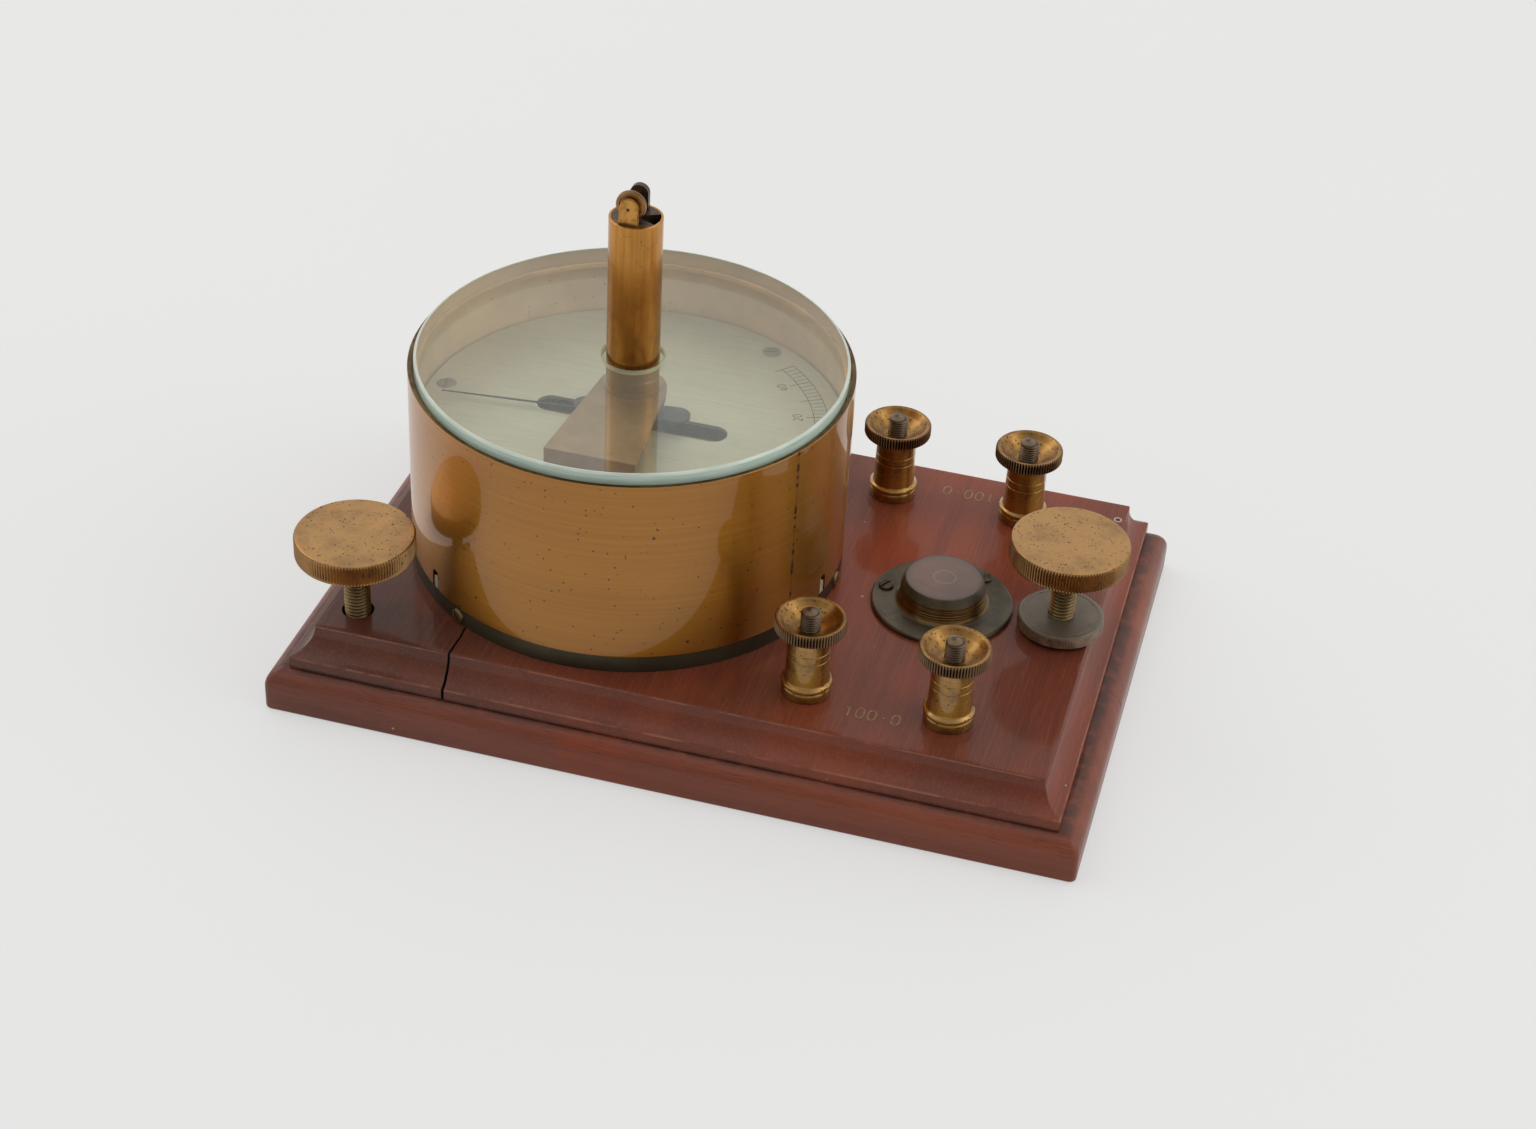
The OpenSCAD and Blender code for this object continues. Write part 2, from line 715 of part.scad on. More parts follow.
// A rectangular spool with a tunnel for the needle, on the side where y is positive
module bobbin() {
  translate([0, bobbin_y, 0]) difference() {
    tunnel_block([bobbin_l, bobbin_w, bobbin_h]);
    difference() {
      tunnel_block([bobbin_l + more, bobbin_w - 2 * bobbin_t, bobbin_h + more]);
      tunnel_block([tunnel_l + 2 * bobbin_t, bobbin_w, tunnel_h + 2 * bobbin_t]);
    }
    tunnel_block([tunnel_l, bobbin_w + more, tunnel_h]);
  }
}

// The wire wound on a bobbin, as one block
module winding() {
  translate([0, bobbin_y, 0]) difference() {
    tunnel_block([
      bobbin_l - 2 * winding_inset, bobbin_w - 2 * bobbin_t - 2 * seat, bobbin_h - 2 * winding_inset
    ]);
    tunnel_block([tunnel_l + 2 * bobbin_t + 2 * seat, bobbin_w, tunnel_h + 2 * bobbin_t + 2 * seat]);
  }
}

module front_bobbin() color("burlywood") on_drum() mirror([0, 1, 0]) bobbin();

module back_bobbin() color("burlywood") on_drum() bobbin();

module front_winding() color("darkgreen") on_drum() mirror([0, 1, 0]) winding();

module back_winding() color("darkgreen") on_drum() winding();

// One lead: down from the winding, along its channel, up beside the nut and across to an eye on the stud
module coil_lead(a, b) {
  run = b - a;
  reach = norm(run) - back_nut_r - lead_gap - lead_r;
  eye_mid = back_nut_top + eye_t / 2;
  translate(a) {
    rod(lead_r, lead_z, deck + coil_base_t + winding_inset);
    translate([0, 0, lead_z]) sphere(lead_bend_r, $fn = 32);
    rotate([0, 0, atan2(run[1], run[0])]) {
      translate([0, 0, lead_z]) rotate([0, 90, 0]) rod(lead_r, 0, reach);
      translate([reach, 0, lead_z]) sphere(lead_bend_r, $fn = 32);
      translate([reach, 0, 0]) rod(lead_r, lead_z, back_nut_top + eye_t - 2 * seat);
      translate([0, 0, eye_mid]) rotate([0, 90, 0])
        rod(lead_r - 2 * seat, reach, norm(run) - eye_r + eye_w / 2);
    }
  }
  translate([b[0], b[1], 0]) pipe(eye_r, stud_r + fit, back_nut_top + seat, back_nut_top + eye_t - seat);
}

module coil_leads() color("firebrick") for (i = [0:3]) coil_lead(lead_starts[i], terminals[i]);

module tube_bracket() color("tan") on_drum() difference() {
  union() {
    translate([0, 0, bracket_under]) linear_extrude(bracket_t) {
      circle(bracket_nose_r);
      polygon([
        [-bracket_nose_r, 0], [-bracket_w / 2, -bracket_reach],
        [bracket_w / 2, -bracket_reach], [bracket_nose_r, 0]
      ]);
    }
    translate([-bracket_w / 2, -bracket_reach, dial_face_h])
      cube([bracket_w, bracket_t, bracket_h - bracket_t / 2]);
    translate([-bracket_w / 2, -bracket_reach - bracket_foot, dial_face_h])
      cube([bracket_w, bracket_foot + bracket_t, bracket_t]);
  }
  rod(tube_r + seat, bracket_under - more, bracket_top + more);
  bracket_screw_places() rod(bracket_screw_r + seat, dial_face_h - more, dial_face_h + bracket_t + more);
}

module bracket_screws() color("peru") on_drum() bracket_screw_places()
  translate([0, 0, dial_face_h + bracket_t])
    cheese_screw(bracket_screw_r, bracket_screw_head_r, bracket_screw_head_h, bracket_t + dial_t + 2);

module suspension_tube() color("darkgoldenrod") on_drum() difference() {
  rod(tube_r, tube_bottom, tube_top);
  rod(tube_inner_r - shoulder_w, tube_bottom - more, tube_top + more);
  rod(tube_inner_r, tube_top - plug_h, tube_top + more);
}

module tube_ring_nut() color("peru") on_drum()
  pipe(tube_r + collar_rim, tube_r + seat, tube_bottom, bracket_under);

// A lug with a round top, its face towards the front
module lug() {
  rotate([90, 0, 0]) linear_extrude(lug_t) difference() {
    union() {
      translate([axle_x - lug_w / 2, tube_top - lug_root]) square([lug_w, lug_h + lug_root - lug_w / 2]);
      translate([axle_x, axle_h]) circle(lug_w / 2);
    }
    translate([axle_x, axle_h]) circle(axle_r + fit);
  }
}

module torsion_head() color("darkgoldenrod") on_drum() {
  difference() {
    rod(plug_r, tube_top - plug_h + fit, tube_top);
    rod(fibre_hole_r, tube_top - plug_h - more, tube_top + more);
    translate([0, 0, tube_top - plug_h - more]) linear_extrude(plug_h + 2 * more)
      polygon([
        [0, 0], [2 * plug_r, -2 * plug_r * tan(notch_angle / 2)],
        [2 * plug_r, 2 * plug_r * tan(notch_angle / 2)]
      ]);
  }
  translate([0, lug_t - lug_out, 0]) lug();
  translate([0, lug_out, 0]) lug();
}

module windlass_axle() color("saddlebrown") on_drum() translate([axle_x, 0, axle_h]) rotate([90, 0, 0])
  rod(axle_r, -lug_out - axle_end, lug_out + axle_end);

module windlass_wheel() color("peru") on_drum() translate([axle_x, 0, axle_h]) rotate([90, 0, 0])
  pipe(wheel_r, axle_r + seat, -wheel_y - wheel_t, -wheel_y);

module silk_fibre() color("ivory") on_drum() rod(fibre_r, barrel_top, axle_h);

module fibre_barrel() color("gold") on_drum() difference() {
  rod(barrel_r, bracket_under, barrel_top);
  rod(staff_r + fit, bracket_under - more, staff_top + swivel_gap);
}

// Places its children in the needles' own frame, turned as they hang at rest
module on_needle() {
  on_drum() rotate([0, 0, 180 + needle_turn]) children();
}

// A flat magnetic needle with round ends and a hole for the staff
module needle(z) {
  translate([0, 0, z]) linear_extrude(needle_t) difference() {
    union() {
      square([needle_l - needle_w, needle_w], center = true);
      for (x = [-1, 1]) translate([x * (needle_l - needle_w) / 2, 0]) circle(needle_w / 2);
    }
    circle(staff_r + seat);
  }
}

module needle_staff() color("lightgray") on_needle() rod(staff_r, staff_bottom, staff_top);

module upper_needle() color("steelblue") on_needle() needle(upper_needle_h);

module lower_needle() color("steelblue") on_needle() {
  needle(lower_needle_h);
  pipe(hub_r, staff_r + seat, staff_bottom, lower_needle_h);
}

module pointer() color("black") on_needle() {
  difference() {
    union() {
      rod(hub_r, pointer_h, upper_needle_h);
      translate([0, 0, pointer_h]) linear_extrude(pointer_t) polygon([
        [-pointer_tail, -pointer_w / 2], [0, -pointer_w / 2], [pointer_l, -pointer_tip_w / 2],
        [pointer_l, pointer_tip_w / 2], [0, pointer_w / 2], [-pointer_tail, pointer_w / 2]
      ]);
    }
    rod(staff_r + seat, pointer_h - more, upper_needle_h + more);
  }
}

module terminal_posts() color("darkgoldenrod") for (p = terminals) translate([p[0], p[1], deck])
  rotate_extrude() polygon([
    [stud_r + fit, 0], [collar_r, 0], [collar_r, post_collar_h - 3 * edge],
    [collar_r - edge, post_collar_h - edge], [collar_r - 3 * edge, post_collar_h],
    [post_r, post_collar_h + collar_fall], [post_r, post_h - edge],
    [post_r - edge, post_h], [stud_r + fit, post_h]
  ]);

module terminal_studs() color("dimgray") for (p = terminals) translate([p[0], p[1], deck]) rotate_extrude()
  polygon([
    [0, stud_bottom], [stud_r, stud_bottom], [stud_r, stud_top - stud_dome],
    [stud_r - stud_dome * 0.4, stud_top - stud_dome * 0.35],
    [stud_r - stud_dome * 1.25, stud_top], [0, stud_top]
  ]);

module terminal_back_nuts() color("peru") for (p = terminals) translate(p) {
  pipe(recess_r - back_washer_gap, stud_r + seat, recess_h - back_washer_t, recess_h);
  difference() {
    translate([0, 0, back_nut_top - back_nut_h]) cylinder(r = back_nut_r, h = back_nut_h, $fn = 6);
    rod(stud_r + seat, 0, recess_h);
  }
}

module clamp_washer(p) color("goldenrod") translate([p[0], p[1], deck]) rotate_extrude() polygon([
  [stud_r + fit, washer_h], [post_r - edge, washer_h], [post_r, washer_h + edge],
  [post_r, thumb_z - edge], [post_r - edge, thumb_z], [stud_r + fit, thumb_z]
]);

module thumb_nut(p) color("darkgoldenrod") translate([p[0], p[1], deck + thumb_z]) {
  rim_z = thumb_h - thumb_rim_h;
  dish_r = thumb_r - thumb_lip;
  dish_end_r = stud_r + thumb_floor_w;
  rotate_extrude() polygon([
    [stud_r + fit, 0], [post_r - edge, 0], [post_r, edge], [post_r, rim_z - neck], [post_r + neck, rim_z],
    [thumb_r - rim_edge, rim_z], [thumb_r, rim_z + rim_edge],
    [thumb_r, thumb_h - rim_edge], [thumb_r - rim_edge, thumb_h],
    [dish_r, thumb_h], [dish_r * 0.7 + dish_end_r * 0.3, thumb_h - thumb_dish * 0.6],
    [dish_end_r, thumb_h - thumb_dish], [stud_r + fit, thumb_h - thumb_dish]
  ]);
}

module levelling_bushes() color("goldenrod") for (p = level_screws) translate([p[0], p[1], bush_z])
  difference() {
    union() {
      rod(bush_flange_r, 0, bush_flange_t);
      rod(bush_r, 0, bush_h);
    }
    rod(level_r + fit, -more, bush_h + more);
  }

// Lowest point of a levelling screw's foot
function foot_z(p) = deck + p[2] - level_l;

module levelling_foot(p) color("slategray") translate([p[0], p[1], foot_z(p)]) rotate_extrude() polygon([
  [0, 0], [level_foot_r, 0], [foot_top_r, level_foot_l], [level_stem_r, level_foot_l],
  [level_stem_r, level_foot_l + level_stem_l], [0, level_foot_l + level_stem_l]
]);

module levelling_screw(p) color("olive") translate([p[0], p[1], foot_z(p)]) difference() {
  rod(level_r, level_foot_l + foot_gap, level_l - level_head_h + socket_d - foot_gap);
  rod(level_stem_r + fit, 0, level_foot_l + level_stem_l + stem_gap);
}

module levelling_head(p) color("darkgoldenrod") translate([p[0], p[1], deck + p[2] - level_head_h]) {
  rotate_extrude() polygon([
    [level_r + seat, 0], [level_head_r - head_edge, 0], [level_head_r, head_edge],
    [level_head_r, level_head_h - head_edge], [level_head_r - head_edge, level_head_h],
    [0, level_head_h], [0, socket_d], [level_r + seat, socket_d]
  ]);
}

module lock_washer() color("saddlebrown") translate([level_right_x, 0, deck])
  pipe(lock_r - lock_washer_inset, level_r + lock_washer_gap, 0, lock_washer_t);

module lock_nut() color("darkslategray") translate([level_right_x, 0, deck + lock_washer_t]) rotate_extrude()
  polygon([
    [level_r + fit, 0], [lock_r - lock_undercut, 0], [lock_r, lock_undercut],
    [lock_r, lock_h - lock_chamfer], [lock_r - lock_chamfer, lock_h], [level_r + fit, lock_h]
  ]);

module level_cup() color("darkslategray") translate([level_x, 0, deck]) difference() {
  rotate_extrude() polygon([
    [0, 0], [flange_r - edge, 0], [flange_r, edge], [flange_r, flange_t - edge], [flange_r - edge, flange_t],
    [cup_r + fillet, flange_t], [cup_r + fillet / 3, flange_t + fillet / 3], [cup_r, flange_t + fillet],
    [cup_r, cup_h], [cup_r - cup_t, cup_h], [cup_r - cup_t, cup_floor], [0, cup_floor]
  ]);
  for (a = level_screw_angles) rotate([0, 0, a]) translate([level_screw_ring, 0, 0])
    rod(level_screw_r + seat, -more, flange_t + more);
}

module level_cap() color("darkolivegreen") translate([level_x, 0, deck]) rotate_extrude() polygon([
  [cap_seat_r, cup_h], [cup_r - edge, cup_h], [cup_r + cap_rim, cup_h + edge],
  [cup_r + cap_rim, cup_h + cap_band_h], [cap_top_r, cap_top - cap_rim],
  [cap_top_r - cap_rim, cap_top], [level_glass_r + seat, cap_top],
  [level_glass_r + seat, cap_top - level_glass_t], [cap_seat_r, cap_top - level_glass_t]
]);

module level_glass() color("lightpink", 0.5) translate([level_x, 0, deck]) rotate_extrude() polygon([
  [0, cap_top - level_glass_t], [level_glass_r, cap_top - level_glass_t], [level_glass_r, cap_top],
  [level_glass_r * 0.6, cap_top + glass_crown * 0.7], [0, cap_top + glass_crown]
]);

module level_spirit() color("rosybrown", 0.6) translate([level_x, 0, deck])
  rod(cap_seat_r - spirit_gap, cup_floor, cap_top - level_glass_t - seat);

module level_flange_screws() color("dimgray") for (a = level_screw_angles)
  translate([level_x, 0, deck + flange_t]) rotate([0, 0, a]) translate([level_screw_ring, 0, 0])
    cheese_screw(level_screw_r, level_screw_head_r, level_screw_head_h, level_screw_l);

plinth();
upper_board();
base_wood_screws();
base_ring();
base_ring_screws();
case_key_screws();
drum_case();
glass_ledge();
glass_cover();
dial_plate();
dial_screws();
dial_pillars();
coil_base();
coil_base_screws();
front_bobbin();
back_bobbin();
front_winding();
back_winding();
coil_leads();
tube_bracket();
bracket_screws();
suspension_tube();
tube_ring_nut();
torsion_head();
windlass_axle();
windlass_wheel();
silk_fibre();
fibre_barrel();
needle_staff();
upper_needle();
lower_needle();
pointer();
terminal_posts();
terminal_studs();
terminal_back_nuts();
levelling_bushes();
lock_washer();
lock_nut();
level_cup();
level_cap();
level_glass();
level_spirit();
level_flange_screws();
for (i = [0:3]) {
  clamp_washer(terminals[i]);
  thumb_nut(terminals[i]);
}
for (i = [0:2]) {
  levelling_foot(level_screws[i]);
  levelling_screw(level_screws[i]);
  levelling_head(level_screws[i]);
}
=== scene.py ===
import math

import bmesh
import bpy
from mathutils import Matrix, Vector


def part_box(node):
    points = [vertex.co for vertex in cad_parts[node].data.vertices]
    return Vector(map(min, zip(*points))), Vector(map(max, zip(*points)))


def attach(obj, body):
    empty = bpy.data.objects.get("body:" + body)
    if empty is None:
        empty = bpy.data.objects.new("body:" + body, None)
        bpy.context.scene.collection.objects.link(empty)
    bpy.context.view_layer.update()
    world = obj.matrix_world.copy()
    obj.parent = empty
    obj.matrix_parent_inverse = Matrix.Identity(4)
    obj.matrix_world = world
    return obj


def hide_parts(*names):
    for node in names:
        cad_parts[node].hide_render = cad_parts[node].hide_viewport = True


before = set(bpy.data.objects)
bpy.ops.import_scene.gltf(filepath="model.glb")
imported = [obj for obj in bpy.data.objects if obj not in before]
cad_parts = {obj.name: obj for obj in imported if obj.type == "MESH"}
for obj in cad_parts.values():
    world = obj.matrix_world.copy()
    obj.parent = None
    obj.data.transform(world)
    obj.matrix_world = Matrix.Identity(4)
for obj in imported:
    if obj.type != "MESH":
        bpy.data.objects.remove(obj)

# Lengths below are in millimetres, and meshes are made in metres.
MM = 0.001
TURN = 2 * math.pi
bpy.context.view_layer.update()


# Places that come from the frame

class Span:
    """The box of a CAD node: its corners, its middle and half its size."""

    def __init__(self, node):
        lo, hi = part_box(node)
        self.lo = lo / MM
        self.hi = hi / MM
        self.mid = (self.lo + self.hi) / 2
        self.half = (self.hi - self.lo) / 2


AXIS = Span("drum_case").mid.x
DRUM_R = Span("drum_case").half.x
DECK = Span("upper_board").hi.z
PLINTH_TOP = Span("plinth").hi.z
STUD_PITCH = 0.794
ROD_PITCH = 1.155
NUT_TEETH = 72
NUT_RIM_HIGH = 3.7
HEAD_TEETH = 120
LOCK_TEETH = 88
# Angle of the drum's first slot, and of the screw beside each slot
KEY_ANGLE = 108
KEY_SCREW_ANGLE = KEY_ANGLE + 10.5
CORNERS = ("front_left", "front_right", "back_left", "back_right")
LEVEL_CORNERS = ("front_left", "back_left", "right")


# Outlines

def arc(cx, cz, radius, start, end, steps):
    """Points of an arc, with its angles in degrees."""
    angles = [math.radians(start + (end - start) * i / steps) for i in range(steps + 1)]
    return [(cx + radius * math.cos(a), cz + radius * math.sin(a)) for a in angles]


def circle(cx, cy, radius):
    return arc(cx, cy, radius, 0, 360, 48)[:-1]


def arch(width, height, foot, steps):
    """An upright slot with a round top, its foot at a height of its own."""
    radius = width / 2
    return [(-radius, foot), (radius, foot)] + arc(0, height - radius, radius, 0, 180, steps)


def dome(radius, base, rise, step):
    """Profile points over a domed end from rim to middle, a step of degrees apart."""
    angles = [math.radians(degree) for degree in range(step, 90, step)]
    return [(radius * math.cos(a), base + rise * math.sin(a)) for a in angles] + [(0, base + rise)]


def around(radius, degrees, centre=AXIS):
    """A place at an angle about the drum's axis, or about another centre."""
    a = math.radians(degrees)
    return centre + radius * math.cos(a), radius * math.sin(a)


def side(radius, low, high, step):
    """Profile points up a straight side, about a step apart."""
    count = round((high - low) / step)
    return [(radius, low + (high - low) * i / count, 0) for i in range(count + 1)]


def eased(points, radius, closed=False):
    """A profile with its corners rounded; a point's own third value is its radius."""
    made = []
    count = len(points)
    for i, point in enumerate(points):
        here = Vector(point[:2])
        size = point[2] if len(point) > 2 else radius
        if size <= 0 or (not closed and i in (0, count - 1)):
            made.append(tuple(here))
            continue
        before = Vector(points[i - 1][:2]) - here
        after = Vector(points[(i + 1) % count][:2]) - here
        reach = min(size, before.length * 0.45, after.length * 0.45)
        a = here + before.normalized() * reach
        b = here + after.normalized() * reach
        for t in (0, 1 / 3, 2 / 3, 1):
            made.append(tuple(a * (1 - t) ** 2 + here * 2 * t * (1 - t) + b * t * t))
    return made


# Meshes

def linked(name, data):
    """A new object in the scene."""
    made = bpy.data.objects.new(name, data)
    bpy.context.scene.collection.objects.link(made)
    return made


def new_object(name, verts, faces, place=(0, 0, 0)):
    """A mesh object made of points, standing at a place."""
    mesh = bpy.data.meshes.new(name)
    mesh.from_pydata([Vector(v) * MM for v in verts], [], faces)
    mesh.validate()
    made = linked(name, mesh)
    made.location = Vector(place) * MM
    return made


def fix_normals(obj):
    """Makes every face look outwards."""
    work = bmesh.new()
    work.from_mesh(obj.data)
    bmesh.ops.recalc_face_normals(work, faces=work.faces)
    work.to_mesh(obj.data)
    work.free()


def smooth(obj, angle):
    """Smooth shading with edges sharper than the angle kept."""
    obj.data.polygons.foreach_set("use_smooth", [True] * len(obj.data.polygons))
    obj.data.set_sharp_from_angle(angle=math.radians(angle))


def lathe(name, profile, place, segments, shape=None, closed=True, angle=35):
    """Turns a profile of (radius, height) points about Z. shape(radius, height, angle) gives the radius."""
    verts = []
    faces = []
    rows = []
    for radius, height in [point[:2] for point in profile]:
        first = len(verts)
        if radius < 1e-6:
            verts.append((0, 0, height))
            rows.append([first] * segments)
            continue
        rows.append(range(first, first + segments))
        for k in range(segments):
            a = TURN * k / segments
            r = shape(radius, height, a) if shape else radius
            verts.append((r * math.cos(a), r * math.sin(a), height))
    pairs = list(zip(rows, rows[1:]))
    if closed:
        pairs.append((rows[-1], rows[0]))
    for low, high in pairs:
        for k in range(segments):
            n = (k + 1) % segments
            corners = tuple(dict.fromkeys((low[k], low[n], high[n], high[k])))
            if len(corners) > 2:
                faces.append(corners)
    made = new_object(name, verts, faces, place)
    fix_normals(made)
    smooth(made, angle)
    return made


def triangle_wave(x):
    return 2 * abs(x - math.floor(x) - 0.5)


def knurl(teeth, depth, outer, low, high, fade=0.5):
    """Straight knurling of a rim between two heights, fading out at its edges."""
    def shape(radius, height, a):
        if radius < outer - 2.2 * depth or not low <= height <= high:
            return radius
        edge = min(height - low, high - height) / fade
        return radius - depth * min(1.0, max(0.0, edge)) * triangle_wave(a / TURN * teeth)
    return shape


def thread(outer, pitch, depth, low, high):
    """A right-handed helical thread between two heights, running out at its top."""
    def shape(radius, height, a):
        if radius < outer - 1e-4 or height < low:
            return radius
        groove = 1 - triangle_wave(height / pitch - a / TURN)
        start = min(1.0, (height - low) / pitch, max(0.0, high - height) / (0.3 * pitch))
        return radius - depth * groove * start
    return shape


def skin(name, loops):
    """A closed solid through loops of points, from its lowest loop to its highest."""
    count = len(loops[0])
    faces = [tuple(reversed(range(count)))]
    for base in range(0, count * (len(loops) - 1), count):
        for i in range(count):
            a = base + i
            b = base + (i + 1) % count
            faces.append((a, b, b + count, a + count))
    faces.append(tuple(range((len(loops) - 1) * count, len(loops) * count)))
    made = new_object(name, [point for loop in loops for point in loop], faces)
    fix_normals(made)
    return made


def prism(name, outline, low, high):
    """A flat outline of (x, y) points drawn up from one height to another."""
    return skin(name, [[(x, y, z) for x, y in outline] for z in (low, high)])


def radial_prism(outline, degrees, base, start=DRUM_R - 4, end=DRUM_R + 4):
    """An outline of (across, height) points, drawn outwards at an angle through the drum's wall."""
    made = prism("cutter", outline, start, end)
    turn = Matrix.Rotation(math.radians(degrees), 4, "Z")
    lay = Matrix(((0, 0, 1, 0), (1, 0, 0, 0), (0, 1, 0, 0), (0, 0, 0, 1)))
    made.data.transform(Matrix.Translation(Vector((AXIS, 0, base)) * MM) @ turn @ lay)
    return made


def cut(obj, cutters):
    """Cuts shapes out of a mesh for good, and deletes the cutters."""
    for cutter in cutters:
        step = obj.modifiers.new("cut", "BOOLEAN")
        step.operation = "DIFFERENCE"
        step.solver = "EXACT"
        step.object = cutter
        bpy.context.view_layer.update()
        graph = bpy.context.evaluated_depsgraph_get()
        result = bpy.data.meshes.new_from_object(obj.evaluated_get(graph))
        obj.modifiers.clear()
        obj.data = result
        bpy.data.objects.remove(cutter)


def dress(obj, materials, pick):
    """Gives each face the material that pick(across, height, up) says, from its middle and how it faces."""
    for material in materials:
        obj.data.materials.append(material)
    for face in obj.data.polygons:
        across = Vector(face.center[:2]).length / MM
        face.material_index = int(pick(across, face.center.z / MM, face.normal.z))


def settle(obj, material, body, slot, *nodes):
    """Gives a piece its material and its body, and hides the CAD nodes that it stands for. slot is not used.
    """
    if material is not None:
        obj.data.materials.clear()
        obj.data.materials.append(material)
    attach(obj, body)
    if nodes:
        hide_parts(*nodes)


# Materials

def srgb(r, g, b):
    """A colour written with 0 to 255 per channel, as linear values."""
    out = []
    for c in (r, g, b):
        c = c / 255
        out.append(c / 12.92 if c <= 0.04045 else ((c + 0.055) / 1.055) ** 2.4)
    return (*out, 1.0)


def shade(colour, share):
    return tuple(c * share for c in colour)


class Paint:
    """Nodes of a material or the world. Most methods give a socket. x, y and z are the object's own axes."""

    def __init__(self, name, world=False):
        self.made = bpy.data.worlds.new(name) if world else bpy.data.materials.new(name)
        self.made.use_nodes = True
        self.tree = self.made.node_tree
        self.tree.nodes.clear()
        self.output = "OutputWorld" if world else "OutputMaterial"
        self.point = self.node("TexCoord").outputs["Generated" if world else "Object"]
        scaled = self.mapped(Scale=(1 / MM, 1 / MM, 1 / MM))
        self.x, self.y, self.z = self.node("SeparateXYZ", {0: scaled}).outputs

    def node(self, kind, inputs=None, **settings):
        """A new node, each input linked to a socket or set to a value."""
        made = self.tree.nodes.new("ShaderNode" + kind)
        for key, value in settings.items():
            setattr(made, key, value)
        for key, value in (inputs or {}).items():
            if isinstance(value, bpy.types.NodeSocket):
                self.tree.links.new(value, made.inputs[key])
            else:
                made.inputs[key].default_value = value
        return made

    def math(self, operation, a, b=0):
        return self.node("Math", {0: a, 1: b}, operation=operation).outputs[0]

    def times(self, a, b):
        return self.math("MULTIPLY", a, b)

    def plus(self, a, b):
        return self.math("ADD", a, b)

    def scaled(self, value, gain, base):
        """The value times a gain, plus a base."""
        return self.plus(self.times(value, gain), base)

    def larger(self, a, b):
        return self.math("MAXIMUM", a, b)

    def gap(self, a, b):
        """How far apart two values are."""
        return self.math("ABSOLUTE", self.math("SUBTRACT", a, b))

    def angle(self):
        """The angle about the object's Z axis, in radians."""
        return self.math("ARCTAN2", self.y, self.x)

    def reach(self, cx=0, cy=0):
        """The distance from an upright line through a place."""
        x = self.plus(self.x, -cx)
        y = self.plus(self.y, -cy)
        return self.math("SQRT", self.plus(self.times(x, x), self.times(y, y)))

    def band(self, value, low, high, to_low=0, to_high=1):
        """A smooth step from to_low to to_high as the value goes from low to high."""
        inputs = {0: value, 1: low, 2: high, 3: to_low, 4: to_high}
        return self.node("MapRange", inputs, interpolation_type="SMOOTHSTEP").outputs[0]

    def mapped(self, **inputs):
        """The object's own point, or another vector, moved, turned or scaled."""
        return self.node("Mapping", {"Vector": self.point, **inputs}).outputs[0]

    def noise(self, scale, detail=4, rough=0.6, vector=None, warp=0):
        """Noise in the object's own space or in another. Three scales stretch it along each axis."""
        vector = vector or self.point
        if isinstance(scale, tuple):
            vector = self.mapped(Vector=vector, Scale=scale)
            scale = 1
        inputs = {"Vector": vector, "Scale": scale, "Detail": detail, "Roughness": rough, "Distortion": warp}
        return self.node("TexNoise", inputs).outputs[0]

    def mix(self, factor, a, b):
        """From a to b, each a socket or a colour."""
        a, b = [srgb(*end) if isinstance(end, tuple) else end for end in (a, b)]
        return self.node("Mix", {0: factor, 6: a, 7: b}, data_type="RGBA").outputs[2]

    def over(self, factor, top, strength=1):
        """Lays another colour over the material's colour."""
        if strength < 1:
            factor = self.times(factor, strength)
        self.colour = self.mix(factor, self.colour, top)

    def specks(self, cell, size, share, patch=0, seed=0):
        """Specks of a size, in a share of the cells, gathered in patches if patch is above 0."""
        shifted = self.mapped(Location=(seed, seed * 0.7, seed * 1.3))
        cells = self.node("TexVoronoi", {"Vector": shifted, "Scale": 1 / (cell * MM)})
        distance = self.times(cells.outputs["Distance"], cell / size)
        pick = self.node("SeparateColor", {0: cells.outputs["Color"]}).outputs[0]
        some = self.band(pick, 1 - share, 1 - share + 0.02)
        rough_edge = self.times(self.noise(2.4 / (size * MM), 3, 0.55, shifted), 0.9)
        dot = self.times(self.band(self.plus(distance, rough_edge), 0.95, 1.5, 1, 0), some)
        if patch > 0:
            gather = self.noise(1 / (patch * MM), 2, 0.55, shifted)
            dot = self.times(dot, self.band(gather, 0.42, 0.56))
        return dot

    def teeth(self, count):
        """1 in the hollows between the teeth of a knurled rim, 0 on their crests."""
        turns = self.times(self.angle(), count / TURN)
        return self.scaled(self.math("PINGPONG", turns, 0.5), -2, 1)

    def grooves(self, pitch):
        """1 in the groove of a right-handed thread, 0 on its crest."""
        along = self.plus(self.times(self.z, 1 / pitch), self.times(self.angle(), -1 / TURN))
        return self.times(self.math("PINGPONG", along, 0.5), 2)

    def bump(self, height, distance, strength, normal=None):
        inputs = {"Height": height, "Distance": distance * MM, "Strength": strength}
        if normal is not None:
            inputs["Normal"] = normal
        return self.node("Bump", inputs).outputs[0]

    def turning(self):
        """Inputs for the stretched highlights of a surface that was turned or brushed about Z."""
        tangent = self.node("Tangent", direction_type="RADIAL", axis="Z").outputs[0]
        return {"Anisotropic": 0.75, "Anisotropic_Rotation": 0.25, "Tangent": tangent}

    def principled(self, **inputs):
        named = {key.replace("_", " "): value for key, value in inputs.items()}
        return self.node("BsdfPrincipled", named).outputs[0]

    def clear(self, tint):
        return self.node("BsdfTransparent", {"Color": srgb(*tint)}).outputs[0]

    def blend(self, share, a, b):
        return self.node("MixShader", {0: share, 1: a, 2: b}).outputs[0]

    def done(self, surface):
        self.tree.links.new(surface, self.node(self.output).inputs[0])
        return self.made

    def finish(self, **inputs):
        return self.done(self.principled(Base_Color=self.colour, **inputs))


